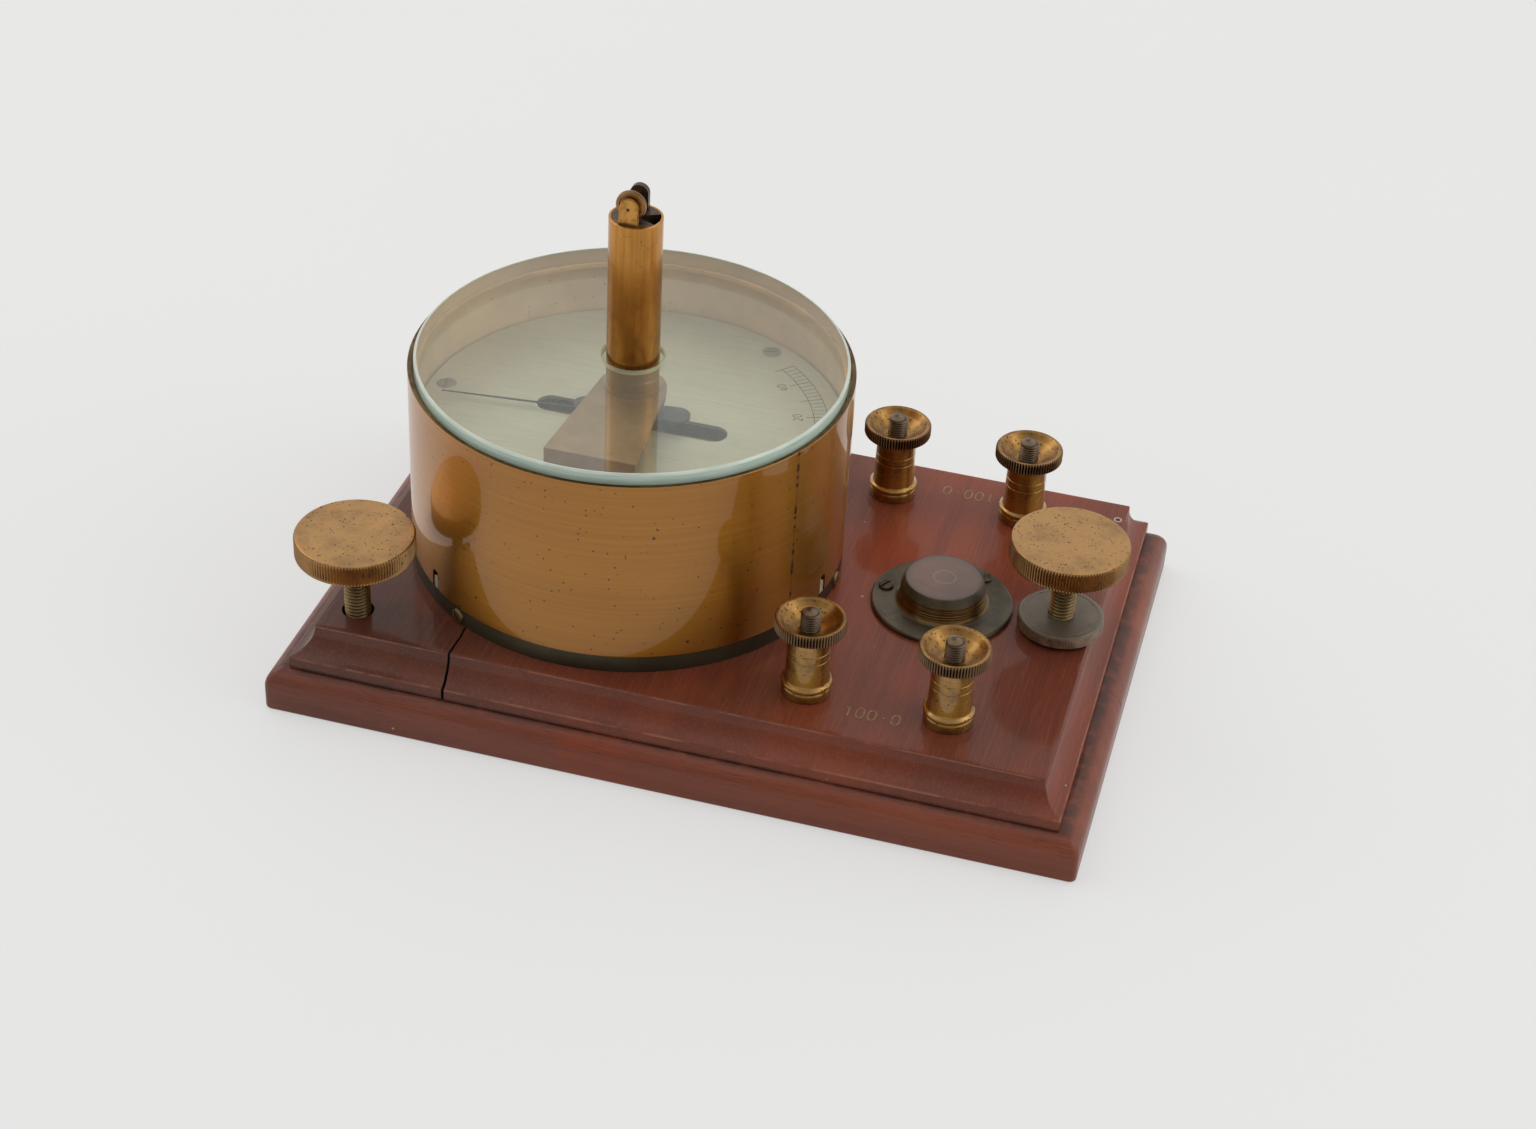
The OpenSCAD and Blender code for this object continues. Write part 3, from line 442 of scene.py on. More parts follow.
def lacquered_brass(name, seam, light, deep):
    """Brushed brass under a clear lacquer, with age spots. seam is the angle of a soldered joint."""
    p = Paint(name)
    brushed = p.noise((30, 30, 9000), 5, 0.65)
    streaks = p.noise((9, 9, 2100))
    clouds = p.noise((14, 14, 40), 3, 0.5)
    p.colour = p.mix(p.band(streaks, 0.25, 0.75), deep, light)
    p.over(p.band(clouds, 0.35, 0.75, 0, 0.4), (deep[0] * 0.88, deep[1] * 0.84, deep[2]))
    marks = p.larger(p.specks(2, 0.36, 0.5, 14, 0.2), p.specks(5, 0.55, 0.3, 22, 1.7))
    off = p.gap(p.angle(), math.radians(seam))
    wander = p.times(p.noise((0, 0, 420), 2, 0.55), 0.011)
    near = p.band(p.plus(off, wander), 0.0095, 0.0165, 1, 0)
    dash = p.band(p.noise((3, 3, 520), 1, 0.55), 0.47, 0.56)
    line = p.band(off, 0, 0.004, 0.5, 0)
    marks = p.larger(marks, p.larger(p.times(near, dash), line))
    p.over(marks, (36, 22, 10), 0.95)
    return p.finish(
        Metallic=p.band(marks, 0.2, 0.8, 1, 0.6), Roughness=p.scaled(brushed, 0.16, 0.32),
        Normal=p.bump(brushed, 0.006, 0.2), Coat_Weight=0.7, Coat_Roughness=0.02, Coat_IOR=1.52,
        **p.turning(),
    )


def drawn_brass(name, dull):
    """Polished drawn tube, brown towards its foot. Below the height dull, where the glass lies over it, it is
    painted pale and matte: a painted veil of light from the glass.
    """
    p = Paint(name)
    drawn = p.noise((900, 900, 26))
    clouds = p.noise((150, 150, 60))
    p.colour = p.mix(p.band(drawn, 0.3, 0.7), (186, 128, 56), (204, 148, 72))
    low = p.band(p.z, dull + 1, dull + 30, 0.75, 0.25)
    p.over(p.times(p.band(clouds, 0.35, 0.65), low), (128, 78, 36))
    marks = p.larger(p.specks(0.9, 0.2, 0.5, 5, 0.7), p.specks(2.6, 0.42, 0.25, 9, 2.9))
    p.over(marks, (50, 30, 16), 0.85)
    # Below the height dull the colour is a pale, matte painted veil of light from the glass, not the brass
    above = p.band(p.z, dull, dull + 1)
    rough = p.plus(p.times(clouds, 0.14), p.times(marks, 0.3))
    p.colour = p.mix(above, (150, 124, 96), p.colour)
    return p.finish(
        Normal=p.bump(drawn, 0.004, 0.4),
        Metallic=p.times(p.band(marks, 0.2, 0.8, 1, 0.4), above),
        Roughness=p.plus(rough, p.band(p.z, dull, dull + 1, 0.46, 0.16)),
        Coat_Weight=0.2, Coat_Roughness=0.05,
    )


def turned_brass(name, light, deep, dark, dots=0.4, rough=0.3, facing=True, coat=0.6, spot=0.3, tarnish=0.35,
                 teeth=0):
    """Turned brass with fine rings on its face or its side, age spots, and darker hollows between its teeth.
    """
    p = Paint(name)
    along = p.node("CombineXYZ", {0: p.reach() if facing else p.z}).outputs[0]
    fine = p.noise(12, 2, vector=along)
    broad = p.noise(2.6, 3, vector=along)
    clouds = p.noise(130, 3)
    p.colour = p.mix(p.band(broad, 0.2, 0.8), deep, light)
    p.over(p.band(clouds, 0.4, 0.75, 0, tarnish), dark)
    marks = p.larger(p.specks(1.2, spot, dots, 4, 0.4), p.specks(2.6, spot * 1.6, dots * 0.6, 7, 2.1))
    p.over(marks, dark, 0.85)
    if teeth:
        hollow = p.band(p.teeth(teeth), 0.3, 0.8)
        p.over(hollow, shade(dark, 0.45), 0.9)
    return p.finish(
        Metallic=p.band(marks, 0.2, 0.9, 1, 0.6),
        Roughness=p.plus(p.scaled(fine, 0.12, rough - 0.06), p.times(marks, 0.3)),
        Normal=p.bump(fine, 0.006, 0.5, p.bump(marks, -0.03, 0.4)),
        Coat_Weight=coat, Coat_Roughness=0.08, **p.turning(),
    )


def dull_metal(name, light, dark, metallic=0.7, rough=0.5, scale=160, spots=0.2, coat=0.1, pitch=0):
    """Aged metal with cloudy colour, small spots, and darker in the groove of its thread if it has one."""
    p = Paint(name)
    grain = p.noise(scale * 14, 3)
    p.colour = p.mix(p.band(p.noise(scale), 0.32, 0.7), dark, light)
    marks = p.specks(1.6, 0.3, spots, 0, 0.9)
    p.over(marks, (28, 22, 16), 0.8)
    if pitch:
        groove = p.band(p.grooves(pitch), 0.3, 0.95)
        p.over(groove, shade(dark, 0.35), 0.85)
    return p.finish(
        Metallic=metallic, Roughness=p.scaled(grain, 0.25, rough - 0.12),
        Normal=p.bump(grain, 0.015, 0.45), Coat_Weight=coat, Coat_Roughness=0.25,
    )


def mahogany(name, low, worn_and_highlit, left, right, crosswise=False, hairline=None, ring=None):
    """Polished mahogany with two colours at its left and two at its right. Its grain runs along X, or along Y
    if crosswise. Dust lies at the height low. Edges at a few other heights are pale, partly from wear and
    partly as a painted highlight. A fine crack starts at the place hairline, and a pale ring is at the place
    ring."""
    p = Paint(name)
    lengthwise = p.mapped(Rotation=(0, 0, math.radians(90 if crosswise else 0)))
    figure = p.noise((3.5, 30, 30), 3, 0.55, lengthwise, 0.5)
    streak = p.noise((11, 190, 190), 4, 0.6, lengthwise, 0.2)
    fibres = p.noise((60, 1500, 1500), 4, 0.65, lengthwise)
    pores = p.noise((260, 4200, 4200), 2, 0.5, lengthwise)
    blotch = p.noise(17, 3, 0.5)
    # From the left colours to the right ones. On the upper board the darker left colours are painted shade:
    # the drum's shadow
    rightness = p.band(p.plus(p.x, p.times(figure, 50)), -90, 100)
    wavy = p.band(figure, 0.3, 0.7)
    p.colour = p.mix(rightness, p.mix(wavy, *left), p.mix(wavy, *right))
    p.over(p.band(blotch, 0.42, 0.68, 0, 0.5), left[1])
    p.over(p.band(blotch, 0.3, 0.44, 0.6, 0), (148, 62, 32))
    flat = p.band(p.z, DECK - 1, DECK - 0.2, 0.35, 0.6) if crosswise else 0.6
    p.over(p.times(p.band(streak, 0.42, 0.7, 0, 0.5), flat), (80, 40, 28))
    p.over(p.band(fibres, 0.45, 0.75, 0, 0.3), (156, 90, 62))
    pore = p.band(pores, 0.6, 0.72)
    p.over(pore, (46, 26, 20), 0.45)
    dust = p.band(p.gap(p.z, low), 0, 1.4, 0.7, 0)
    p.over(p.times(dust, p.band(p.noise(210, 3), 0.25, 0.6)), (50, 38, 34))
    # Pale lines along edges: partly wear, partly a painted highlight where the rounded edges catch the light
    rubbed = p.band(p.noise(90, 3), 0.35, 0.6)
    for height in worn_and_highlit:
        edge = p.band(p.gap(p.z, height), 0.1, 0.35, 0.5, 0)
        p.over(p.times(edge, rubbed), (170, 118, 94))
    lint = p.specks(9, 0.5, 0.25, 0, 3.3)
    p.over(lint, (190, 174, 160), 0.6)
    if hairline:
        wander = p.scaled(p.noise(160, 2, 0.55), 5, -2.5)
        off = p.gap(p.plus(p.y, wander), hairline[1])
        reach = p.band(p.x, hairline[0] - 1, hairline[0], 0, 0.9)
        p.over(p.times(p.band(off, 0.08, 0.22, 1, 0), reach), (28, 16, 12))
    if ring:
        reach = p.reach(*ring)
        p.over(p.band(p.gap(reach, 1.05), 0.1, 0.3, 0.8, 0), (200, 190, 184))
        p.over(p.band(reach, 0.4, 0.7, 0.9, 0), (40, 28, 26))
    height = p.math("SUBTRACT", p.times(fibres, 0.4), pore)
    return p.finish(
        Roughness=p.scaled(p.noise(60), 0.2, 0.34), Normal=p.bump(height, 0.03, 0.5),
        Coat_Weight=0.34, Coat_Roughness=0.1, Specular_IOR_Level=0.12,
    )


def plain(name, colour, metallic=0, rough=0.5, vary=0.25, scale=300, coat=0):
    """A small part's finish: one colour with fine mottling and a faint grain."""
    p = Paint(name)
    speckle = p.noise(scale)
    p.colour = p.mix(p.band(speckle, 0.3, 0.75, 0, vary * 2), colour, shade(colour, 0.7))
    return p.finish(
        Metallic=metallic, Roughness=p.scaled(speckle, 0.2, rough - 0.1),
        Normal=p.bump(speckle, 0.01, 0.4), Coat_Weight=coat, Coat_Roughness=0.1,
    )


def silvered(name, light, deep):
    """Silvered brass: straight fine brushing, warm grey tarnish and a few dark spots."""
    p = Paint(name)
    brushed = p.noise((50, 2600, 50))
    p.colour = p.mix(p.band(p.noise(26), 0.3, 0.75), light, deep)
    p.over(p.band(brushed, 0.35, 0.8, 0, 0.25), shade(deep, 0.72))
    p.over(p.specks(4.2, 0.3, 0.22, 0, 5), (96, 90, 78), 0.6)
    return p.finish(Metallic=0.5, Roughness=p.scaled(brushed, 0.15, 0.4), Normal=p.bump(brushed, 0.006, 0.4))


def window(name, tint):
    """Clear glass with a thin film, seen straight through. Reflections grow towards grazing view."""
    p = Paint(name)
    facing = p.node("LayerWeight", {"Blend": 0.5}).outputs["Facing"]
    share = p.scaled(p.math("POWER", facing, 5), 0.96, 0.042)
    film = p.band(p.noise(40, 4, 0.65), 0.35, 0.8, 0.03, 0.06)
    haze = p.node("BsdfDiffuse", {"Color": srgb(225, 228, 220)}).outputs[0]
    gloss = p.node("BsdfGlossy", {"Roughness": 0, "Color": (1, 1, 1, 1)}).outputs[0]
    return p.done(p.blend(share, p.blend(film, p.clear(tint), haze), gloss))


def glass_edge(name, light, deep, clear_share):
    """The ground edge of the glass, a little clear."""
    p = Paint(name)
    ground = p.noise((90, 90, 1400))
    base = p.principled(
        Base_Color=p.mix(p.band(ground, 0.3, 0.7), deep, light), Roughness=0.3,
        Normal=p.bump(ground, 0.01, 0.3), Coat_Weight=0.5, Coat_Roughness=0.1,
    )
    return p.done(p.blend(clear_share, base, p.clear((210, 230, 218))))


def lug_brass(name):
    """Dark brass whose front lug is bright."""
    p = Paint(name)
    lug = p.times(p.band(p.y, -4.2, -3.8, 1, 0), p.band(p.z, 134.4, 135.2))
    clouds = p.noise(420)
    dark = p.mix(p.band(clouds, 0.3, 0.7), (58, 46, 36), (88, 70, 54))
    bright = p.mix(p.band(clouds, 0.4, 0.75), (208, 152, 72), (150, 100, 46))
    p.colour = p.mix(lug, dark, bright)
    return p.finish(Metallic=0.6, Roughness=p.scaled(clouds, 0.3, 0.2), Normal=p.bump(clouds, 0.02, 0.5))


def wound_silk(name, colour, thick):
    """Silk-covered wire in close turns along Y."""
    p = Paint(name)
    turns = p.math("SINE", p.times(p.y, TURN / thick))
    p.colour = p.mix(p.band(turns, -1, 1), shade(colour, 0.5), colour)
    return p.finish(Roughness=0.6, Normal=p.bump(turns, 0.1, 0.8), Sheen_Weight=0.3)


def level_window(name):
    """The level's glass: pinkish spirit behind it, with the faint ring of the bubble."""
    p = Paint(name)
    reach = p.reach(Span("level_glass").mid.x)
    wobble = p.scaled(p.noise(240, 2, 0.5), 1.2, -0.6)
    ring = p.band(p.gap(p.plus(reach, wobble), 3.2), 0, 0.5, 0.4, 0)
    p.colour = p.mix(p.band(p.noise(130, 3, 0.5), 0.3, 0.7), (114, 82, 64), (98, 68, 55))
    p.over(ring, (150, 122, 108))
    p.over(p.band(reach, 8.5, 10.8, 0, 0.75), (88, 64, 54))
    return p.finish(Roughness=0.4, Coat_Weight=0.4, Coat_Roughness=0.15)


WOOD_LOW = mahogany("mahogany_plinth", PLINTH_TOP, (), ((108, 59, 46), (134, 74, 56)),
                    ((108, 54, 38), (136, 70, 48)), hairline=(113, -8.6))
# The upper board's darker left colours are painted shade, the drum's shadow on the deck
WOOD_TOP = mahogany("mahogany_board", PLINTH_TOP, (PLINTH_TOP + 3.45, DECK - 0.5),
                    ((72, 47, 40), (92, 56, 45)), ((116, 51, 31), (144, 66, 37)), True, ring=(102.6, 59.8))
CRACK = plain("dark_crack", (8, 5, 4), rough=0.95)
DRUM = lacquered_brass("lacquered_brass_drum", -27, (178, 123, 46), (166, 111, 38))
TUBE = drawn_brass("drawn_brass_tube", 12)
DRUM_RIM = dull_metal("drum_rim", (112, 88, 50), (70, 52, 30), 0.9, 0.4, 220, 0.5)
DRUM_INSIDE = dull_metal("drum_inside", (236, 200, 158), (206, 178, 146), 0.1, 0.5, 30)
HEAD = turned_brass("turned_brass_head", (182, 136, 76), (162, 118, 60), (44, 22, 12), 1, 0.27, spot=0.34)
RIM = turned_brass("turned_brass_rim", (180, 142, 96), (148, 114, 76), (62, 44, 30), 0.3, 0.4,
                   facing=False, coat=0.1, teeth=HEAD_TEETH)
NUT = turned_brass("turned_brass_nut", (176, 132, 66), (140, 100, 50), (48, 32, 20), 0.9, 0.36,
                   spot=0.36, tarnish=0.85, coat=0.3)
NUT_RIM = turned_brass("turned_brass_nut_rim", (150, 118, 86), (118, 92, 66), (56, 42, 32), 0.3, 0.45,
                       facing=False, coat=0.05, teeth=NUT_TEETH)
POST = turned_brass("turned_brass_post", (198, 150, 66), (158, 114, 44), (62, 40, 18), 0.6, 0.36,
                    facing=False, coat=1, spot=0.4, tarnish=0.6)
WHEEL = turned_brass("turned_brass_wheel", (176, 128, 66), (116, 80, 42), (60, 40, 24), 0.5, 0.4)
LUGS = lug_brass("torsion_head_brass")
KEY = plain("key_pin", (196, 190, 158), 0.2, 0.35)
STUD = dull_metal("aged_brass_stud", (124, 102, 76), (90, 70, 52), 0.7, 0.42, pitch=STUD_PITCH)
ROD = dull_metal("aged_brass_rod", (146, 118, 70), (110, 86, 50), 0.7, 0.38, pitch=ROD_PITCH)
AGED = dull_metal("aged_brass", (120, 92, 60), (76, 56, 38), 0.85, 0.4)
OLIVE = dull_metal("olive_bronze", (94, 82, 58), (64, 54, 37), 0.4, 0.42, 110, coat=0.15)
RING = dull_metal("olive_bronze_ring", (80, 74, 54), (64, 56, 38), 0.6, 0.48, 50, 0.1)
LOCK = dull_metal("dark_bronze_lock", (116, 103, 86), (94, 83, 68), 0.3, 0.42, 70)
LOCK_RIM = dull_metal("dark_bronze_lock_rim", (136, 108, 82), (92, 68, 50), 0.15, 0.5, 260, 0.3)
CUP = turned_brass("olive_brass_cup", (146, 108, 58), (92, 70, 42), (48, 36, 22), 0.3, 0.38,
                   facing=False, coat=0.2)
BRACKET = dull_metal("bracket_brass", (166, 134, 98), (146, 114, 80), 0.3, 0.42, 90, 0.05)
PIN = dull_metal("key_brass", (166, 142, 98), (116, 94, 60), 0.85, 0.32)
DIAL = silvered("silvered_dial", (214, 208, 190), (200, 194, 176))
SCREW_HEAD = silvered("silvered_screw", (160, 153, 134), (138, 130, 112))
ENGRAVED = plain("engraved_black", (84, 80, 70), rough=0.6)
GLASS = window("plate_glass", (250, 252, 248))
EDGE = glass_edge("plate_glass_edge", (220, 238, 226), (194, 218, 204), 0.15)
HOLE_EDGE = glass_edge("plate_glass_hole", (226, 226, 204), (204, 206, 182), 0.25)
LINING = dull_metal("plate_glass_lining", (218, 192, 154), (196, 172, 146), 0.1, 0.5, 30, 0)
# A pale painted highlight for the glass's top chamfer and the thin ring of the top beside it
BEVEL_HIGHLIGHT = glass_edge("plate_glass_bevel_highlight", (226, 234, 224), (206, 216, 204), 0.25)
WINDOW = level_window("level_window")
SPIRIT = plain("level_spirit", (120, 92, 84), rough=0.4)
STEEL = dull_metal("blued_steel", (84, 88, 94), (62, 66, 70), 0.4, 0.42)
BLACK = plain("black_pointer", (40, 38, 36), 0.3, 0.4)
IRON = dull_metal("iron_screw", (84, 74, 60), (54, 46, 36), 0.8, 0.42)
EBONITE = plain("ebonite", (24, 22, 22), 0, 0.3, coat=0.4)
BOXWOOD = plain("boxwood", (190, 156, 104), 0, 0.45, 0.3, 160, 0.3)
WIRE = wound_silk("silk_covered_wire", (60, 100, 66), 0.55)
SILK = plain("silk", (232, 226, 208), 0, 0.6)
STAMP = plain("stamped_number", (164, 130, 92), 0, 0.6, 0.5, 900)


# Wooden boards

def board(name, node, profile, corner):
    """A board from its underside to its top: (inset, height) points swept round its rounded corners."""
    half = Span(node).half
    loops = []
    for inset, height in profile:
        loop = []
        for sx, sy, start in ((1, 1, 0), (-1, 1, 90), (-1, -1, 180), (1, -1, 270)):
            cx = sx * (half.x - inset - corner)
            cy = sy * (half.y - inset - corner)
            loop += [(x, y, height) for x, y in arc(cx, cy, corner, start, start + 90, 4)]
        loops.append(loop)
    return skin(name, loops)


def crack_outline(start, end, width):
    """A thin wandering band from one point to another, wider at its end."""
    steps = 14
    a = Vector(start)
    run = Vector(end) - a
    across = Vector((-run.y, run.x)).normalized()
    left = []
    right = []
    for i in range(steps + 1):
        t = i / steps
        wander = 0.7 * math.sin(5.1 * t + 0.4) * t * (1.3 - t) + 0.07 * math.sin(23 * t)
        here = a + run * t + across * wander
        half = width * (0.5 + 0.5 * t) / 2
        left.append(tuple(here + across * half))
        right.append(tuple(here - across * half))
    return left + right[::-1]


def upper_board_profile():
    """Lip, hollow moulding and step of the upper board, as (inset, height) points."""
    lip = 3.6
    cove_w = 5.85
    step = 0.8
    thick = DECK - PLINTH_TOP
    cove_h = thick - lip - step
    radius = (cove_w ** 2 + cove_h ** 2) / (2 * cove_w)
    sweep = math.degrees(math.asin(cove_h / radius))
    hollow = [(cove_w - radius + r, lip + cove_h - h, 0.0) for r, h in arc(0, 0, radius, sweep, 0, 12)]
    points = [(0.5, 0.0), (0.0, 0.0, 0.3), (0.0, lip, 0.35)] + hollow[1:]
    points += [(cove_w, thick, 0.35), (cove_w + 1.5, thick)]
    return [(inset, PLINTH_TOP + z) for inset, z in eased(points, 0.3)]


def plinth_profile():
    """Softened foot and rounded upper edge of the lower board, as (inset, height) points."""
    foot = 1.0
    top_round = 6.0
    low = [(foot - x, z) for x, z in arc(0, foot, foot, -90, 0, 6)]
    high = [(top_round - x, z) for x, z in arc(0, PLINTH_TOP - top_round, top_round, 0, 90, 14)]
    return low + high


def finish_board(piece, node, wood, low, high, outlines):
    """Cuts holes and cracks between two heights, dark inside, attaches the board and hides its CAD node."""
    piece.data.materials.append(wood)
    piece.data.materials.append(CRACK)
    cutters = [prism("cutter", outline, low, high) for outline in outlines]
    for cutter in cutters:
        cutter.data.materials.append(CRACK)
    cut(piece, cutters)
    smooth(piece, 28)
    settle(piece, None, "root", "mahogany", node)


def make_boards():
    screws = [Span("levelling_screw_" + corner).mid for corner in LEVEL_CORNERS]
    holes = [circle(screw.x, screw.y, 4.6) for screw in screws]
    split = crack_outline((-64.6, -52.6), (-64.4, Span("upper_board").lo.y - 1), 0.85)
    plinth = board("plinth_board", "plinth", plinth_profile(), 1.8)
    upper = board("moulded_board", "upper_board", upper_board_profile(), 0.45)
    finish_board(plinth, "plinth", WOOD_LOW, -1, PLINTH_TOP + 1, holes)
    finish_board(upper, "upper_board", WOOD_TOP, PLINTH_TOP - 1, DECK + 1, holes + [split])


# Drum, glass and dial

def make_drum():
    """The drum with its arched slots and the notches for the screws in the ring."""
    case = Span("drum_case")
    high = case.hi.z - case.lo.z
    inner = DRUM_R - 1.4
    profile = [(inner, 0, 0.2), (DRUM_R, 0, 0.3)] + side(DRUM_R, 0.3, high - 0.45, 4.0)
    profile += [(DRUM_R, high, 0.4), (inner, high, 0.35)]
    drum = lathe("brass_drum", eased(profile, 0.3, closed=True), (AXIS, 0, case.lo.z), 256)
    notch = circle(0, Span("case_key_screws").mid.z - case.lo.z, 3.1)
    cutters = []
    for turn in (0, 120, 240):
        cutters.append(radial_prism(arch(3.6, 6.0, -1.0, 16), KEY_ANGLE + turn, case.lo.z))
        cutters.append(radial_prism(notch, KEY_SCREW_ANGLE + turn, case.lo.z))
    cut(drum, cutters)
    smooth(drum, 32)

    def pick(across, height, up):
        if up > 0.5 and across < DRUM_R - 0.15:
            return 1
        return 2 if across < inner + 0.05 else 0

    dress(drum, (DRUM, DRUM_RIM, DRUM_INSIDE), pick)
    settle(drum, None, "case", "lacquered_brass", "drum_case")


def make_key_pins():
    """The keys on the ring that show in the drum's slots."""
    base = Span("drum_case").lo.z
    for k in range(3):
        pin = radial_prism(arch(2.0, 4.2, 0.0, 14), KEY_ANGLE + 120 * k, base, DRUM_R - 1.6, DRUM_R - 0.15)
        pin.name = f"case_key_{k + 1}"
        smooth(pin, 30)
        settle(pin, KEY, "root", "turned_brass")


def make_glass():
    """The glass disc with a painted highlight along its top chamfer, and a thin lining that shows what the
    real edge mirrors: the drum's wall.
    """
    cover = Span("glass_cover")
    place = (AXIS, 0, cover.lo.z)
    outer = cover.half.x
    thick = cover.hi.z - cover.lo.z
    hole = 8.8
    chamfer = 0.5
    profile = [
        (hole + 0.3, 0), (outer - 0.4, 0), (outer, 0.4), (outer, thick - chamfer), (outer - chamfer, thick),
        (outer - 0.85, thick), (hole + 0.4, thick), (hole, thick - 0.4), (hole, thick - 1.8), (hole, 0.3),
    ]
    glass = lathe("glass_disc", profile, place, 256, angle=20)

    def pick(across, height, up):
        # The chamfer and the thin ring of the top beside it get the painted highlight
        if across > outer - 0.9 and height > thick - chamfer:
            return 3
        if across > outer - 0.1 and height > 0.5:
            return 1
        return 2 if across < hole + 0.3 and height > thick - 1.8 else 0

    dress(glass, (GLASS, EDGE, HOLE_EDGE, BEVEL_HIGHLIGHT), pick)
    settle(glass, None, "case", "plate_glass", "glass_cover")
    inner = outer - 0.2
    inside = [(inner, 0.1), (outer - 0.1, 0.35), (outer - 0.05, thick - 0.55), (inner, thick - 0.65)]
    settle(lathe("glass_edge_lining", inside, place, 256), LINING, "case", "plate_glass", "glass_cover")


# Strokes of plain digits on a grid 2 wide and 4 high, as lines through points
DIGITS = {
    "0": [[(0, 1), (0, 3), (0.6, 4), (1.4, 4), (2, 3), (2, 1), (1.4, 0), (0.6, 0), (0, 1)]],
    "1": [[(0.5, 3.2), (1.1, 4), (1.1, 0)]],
    "2": [[(0, 3.2), (0.6, 4), (1.5, 4), (2, 3.2), (1.9, 2.4), (0, 0), (2, 0)]],
    "4": [[(1.5, 0), (1.5, 4), (0, 1.3), (2, 1.3)]],
    ".": [[(0.75, 1.9), (1.25, 1.9)]],
}
DIGIT_ADVANCE = 3.1


class Strokes:
    """Thin flat strokes at one height, gathered in one mesh."""

    def __init__(self, z):
        self.z = z
        self.verts = []
        self.faces = []

    def line(self, points, width):
        """Strokes from each point to the next."""
        for a, b in zip(points, points[1:]):
            run = (Vector(b) - Vector(a)).normalized()
            off = Vector((-run.y, run.x)) * width / 2
            start = len(self.verts)
            for p in (Vector(a) - off, Vector(b) - off, Vector(b) + off, Vector(a) + off):
                self.verts.append((p.x, p.y, self.z))
            self.faces.append(tuple(range(start, start + 4)))

    def write(self, text, place, turn, height, width):
        """Plain digits centred on a place; turn is the direction of writing in degrees."""
        unit = height / 4
        left = 0.5 - DIGIT_ADVANCE * len(text) / 2
        c = math.cos(math.radians(turn)) * unit
        s = math.sin(math.radians(turn)) * unit
        for i, letter in enumerate(text):
            for stroke in DIGITS[letter]:
                grid = [(left + i * DIGIT_ADVANCE + x, y - 2) for x, y in stroke]
                self.line([(place[0] + x * c - y * s, place[1] + x * s + y * c) for x, y in grid], width)

    def settle(self, name, material, slot):
        settle(new_object(name, self.verts, self.faces), material, "root", slot)


def make_scale():
    """Engraved arcs, ticks every two degrees and numbers every twenty."""
    inner = 52.65
    outer = 56.8
    end = 50
    scale = Strokes(Span("dial_plate").hi.z + 0.03)
    for radius in (inner, outer):
        scale.line(arc(AXIS, 0, radius, -end, end, 100), 0.2)
    for degree in range(-end, end + 1, 2):
        long = degree % 10 == 0
        scale.line([around(50.2 if long else inner, degree), around(outer, degree)], 0.26 if long else 0.19)
    for degree in range(-40, 41, 20):
        scale.write(str(abs(degree)), around(47.9, degree), degree + 90, 2.5, 0.28)
    scale.settle("dial_scale", ENGRAVED, "silvered_brass")


def make_numbers():
    """Plain numbers stamped in the wood in front of and behind the terminals."""
    numbers = Strokes(DECK + 0.03)
    numbers.write("100.0", (54.2, -57.0), 0, 4.3, 0.5)
    numbers.write("100.0", (56.5, 58.0), 180, 4.3, 0.5)
    numbers.settle("stamped_numbers", STAMP, "mahogany")


def slotted(name, place, radius, height, slot, turn, axis, material, kind, node, domed=0.45):
    """A round screw head with a driver's slot. It faces along axis, and a share of its height is domed."""
    edge = height * domed
    profile = [(0, 0), (radius, 0), (radius, height - edge)] + dome(radius, height - edge, edge, 15)
    head = lathe(name, profile, (0, 0, 0), 48)
    reach = radius * 2
    half = slot / 2
    bar = [(-reach, -half), (reach, -half), (reach, half), (-reach, half)]
    groove = prism("slot", bar, height * 0.45, height * 2)
    groove.data.transform(Matrix.Rotation(math.radians(turn), 4, "Z"))
    cut(head, [groove])
    smooth(head, 32)
    lean = Vector((0, 0, 1)).rotation_difference(Vector(axis)).to_matrix().to_4x4()
    head.matrix_world = Matrix.Translation(Vector(place) * MM) @ lean
    settle(head, material, "root", kind, node)


def make_screws():
    """The screws of the dial, of the ring and of the level's flange."""
    up = (0, 0, 1)
    dial_z = Span("dial_plate").hi.z - 0.75
    key_z = Span("case_key_screws").mid.z
    cup = Span("level_cup")
    for k in range(3):
        place = (*around(56.5, 60 + 120 * k), dial_z)
        slotted(f"dial_screw_{k + 1}", place, 2.9, 1.1, 0.6, 25 + 70 * k, up, SCREW_HEAD,
                "silvered_brass", "dial_screws", 0.4)
        angle = KEY_SCREW_ANGLE + 120 * k
        place = (*around(DRUM_R - 0.2, angle), key_z)
        slotted(f"key_screw_{k + 1}", place, 2.1, 1.1, 0.5, 90, (*around(1, angle, 0), 0), PIN,
                "turned_brass", "case_key_screws")
    for k, angle in enumerate((176, 56, 296)):
        place = (*around(17, angle, cup.mid.x), cup.lo.z + 1.5)
        slotted(f"level_screw_{k + 1}", place, 2.2, 1.0, 0.55, 60 + 40 * k, up, IRON,
                "iron_screw", "level_flange_screws")


# Tube and windlass

def make_tube():
    box = Span("suspension_tube")
    outer = box.half.x
    high = box.hi.z - box.lo.z
    inner = outer - 1.5
    lip = outer - 0.7
    profile = [(inner, 0, 0.1), (outer, 0, 0.2)] + side(outer, 1.0, high - 1.0, 4.0)
    profile += [(outer, high, 0.22), (lip, high, 0.1), (lip, high - 6, 0), (inner, high - 6, 0)]
    tube = lathe("brass_tube", eased(profile, 0.1, closed=True), (AXIS, 0, box.lo.z), 128)
    settle(tube, TUBE, "root", "lacquered_brass", "suspension_tube")


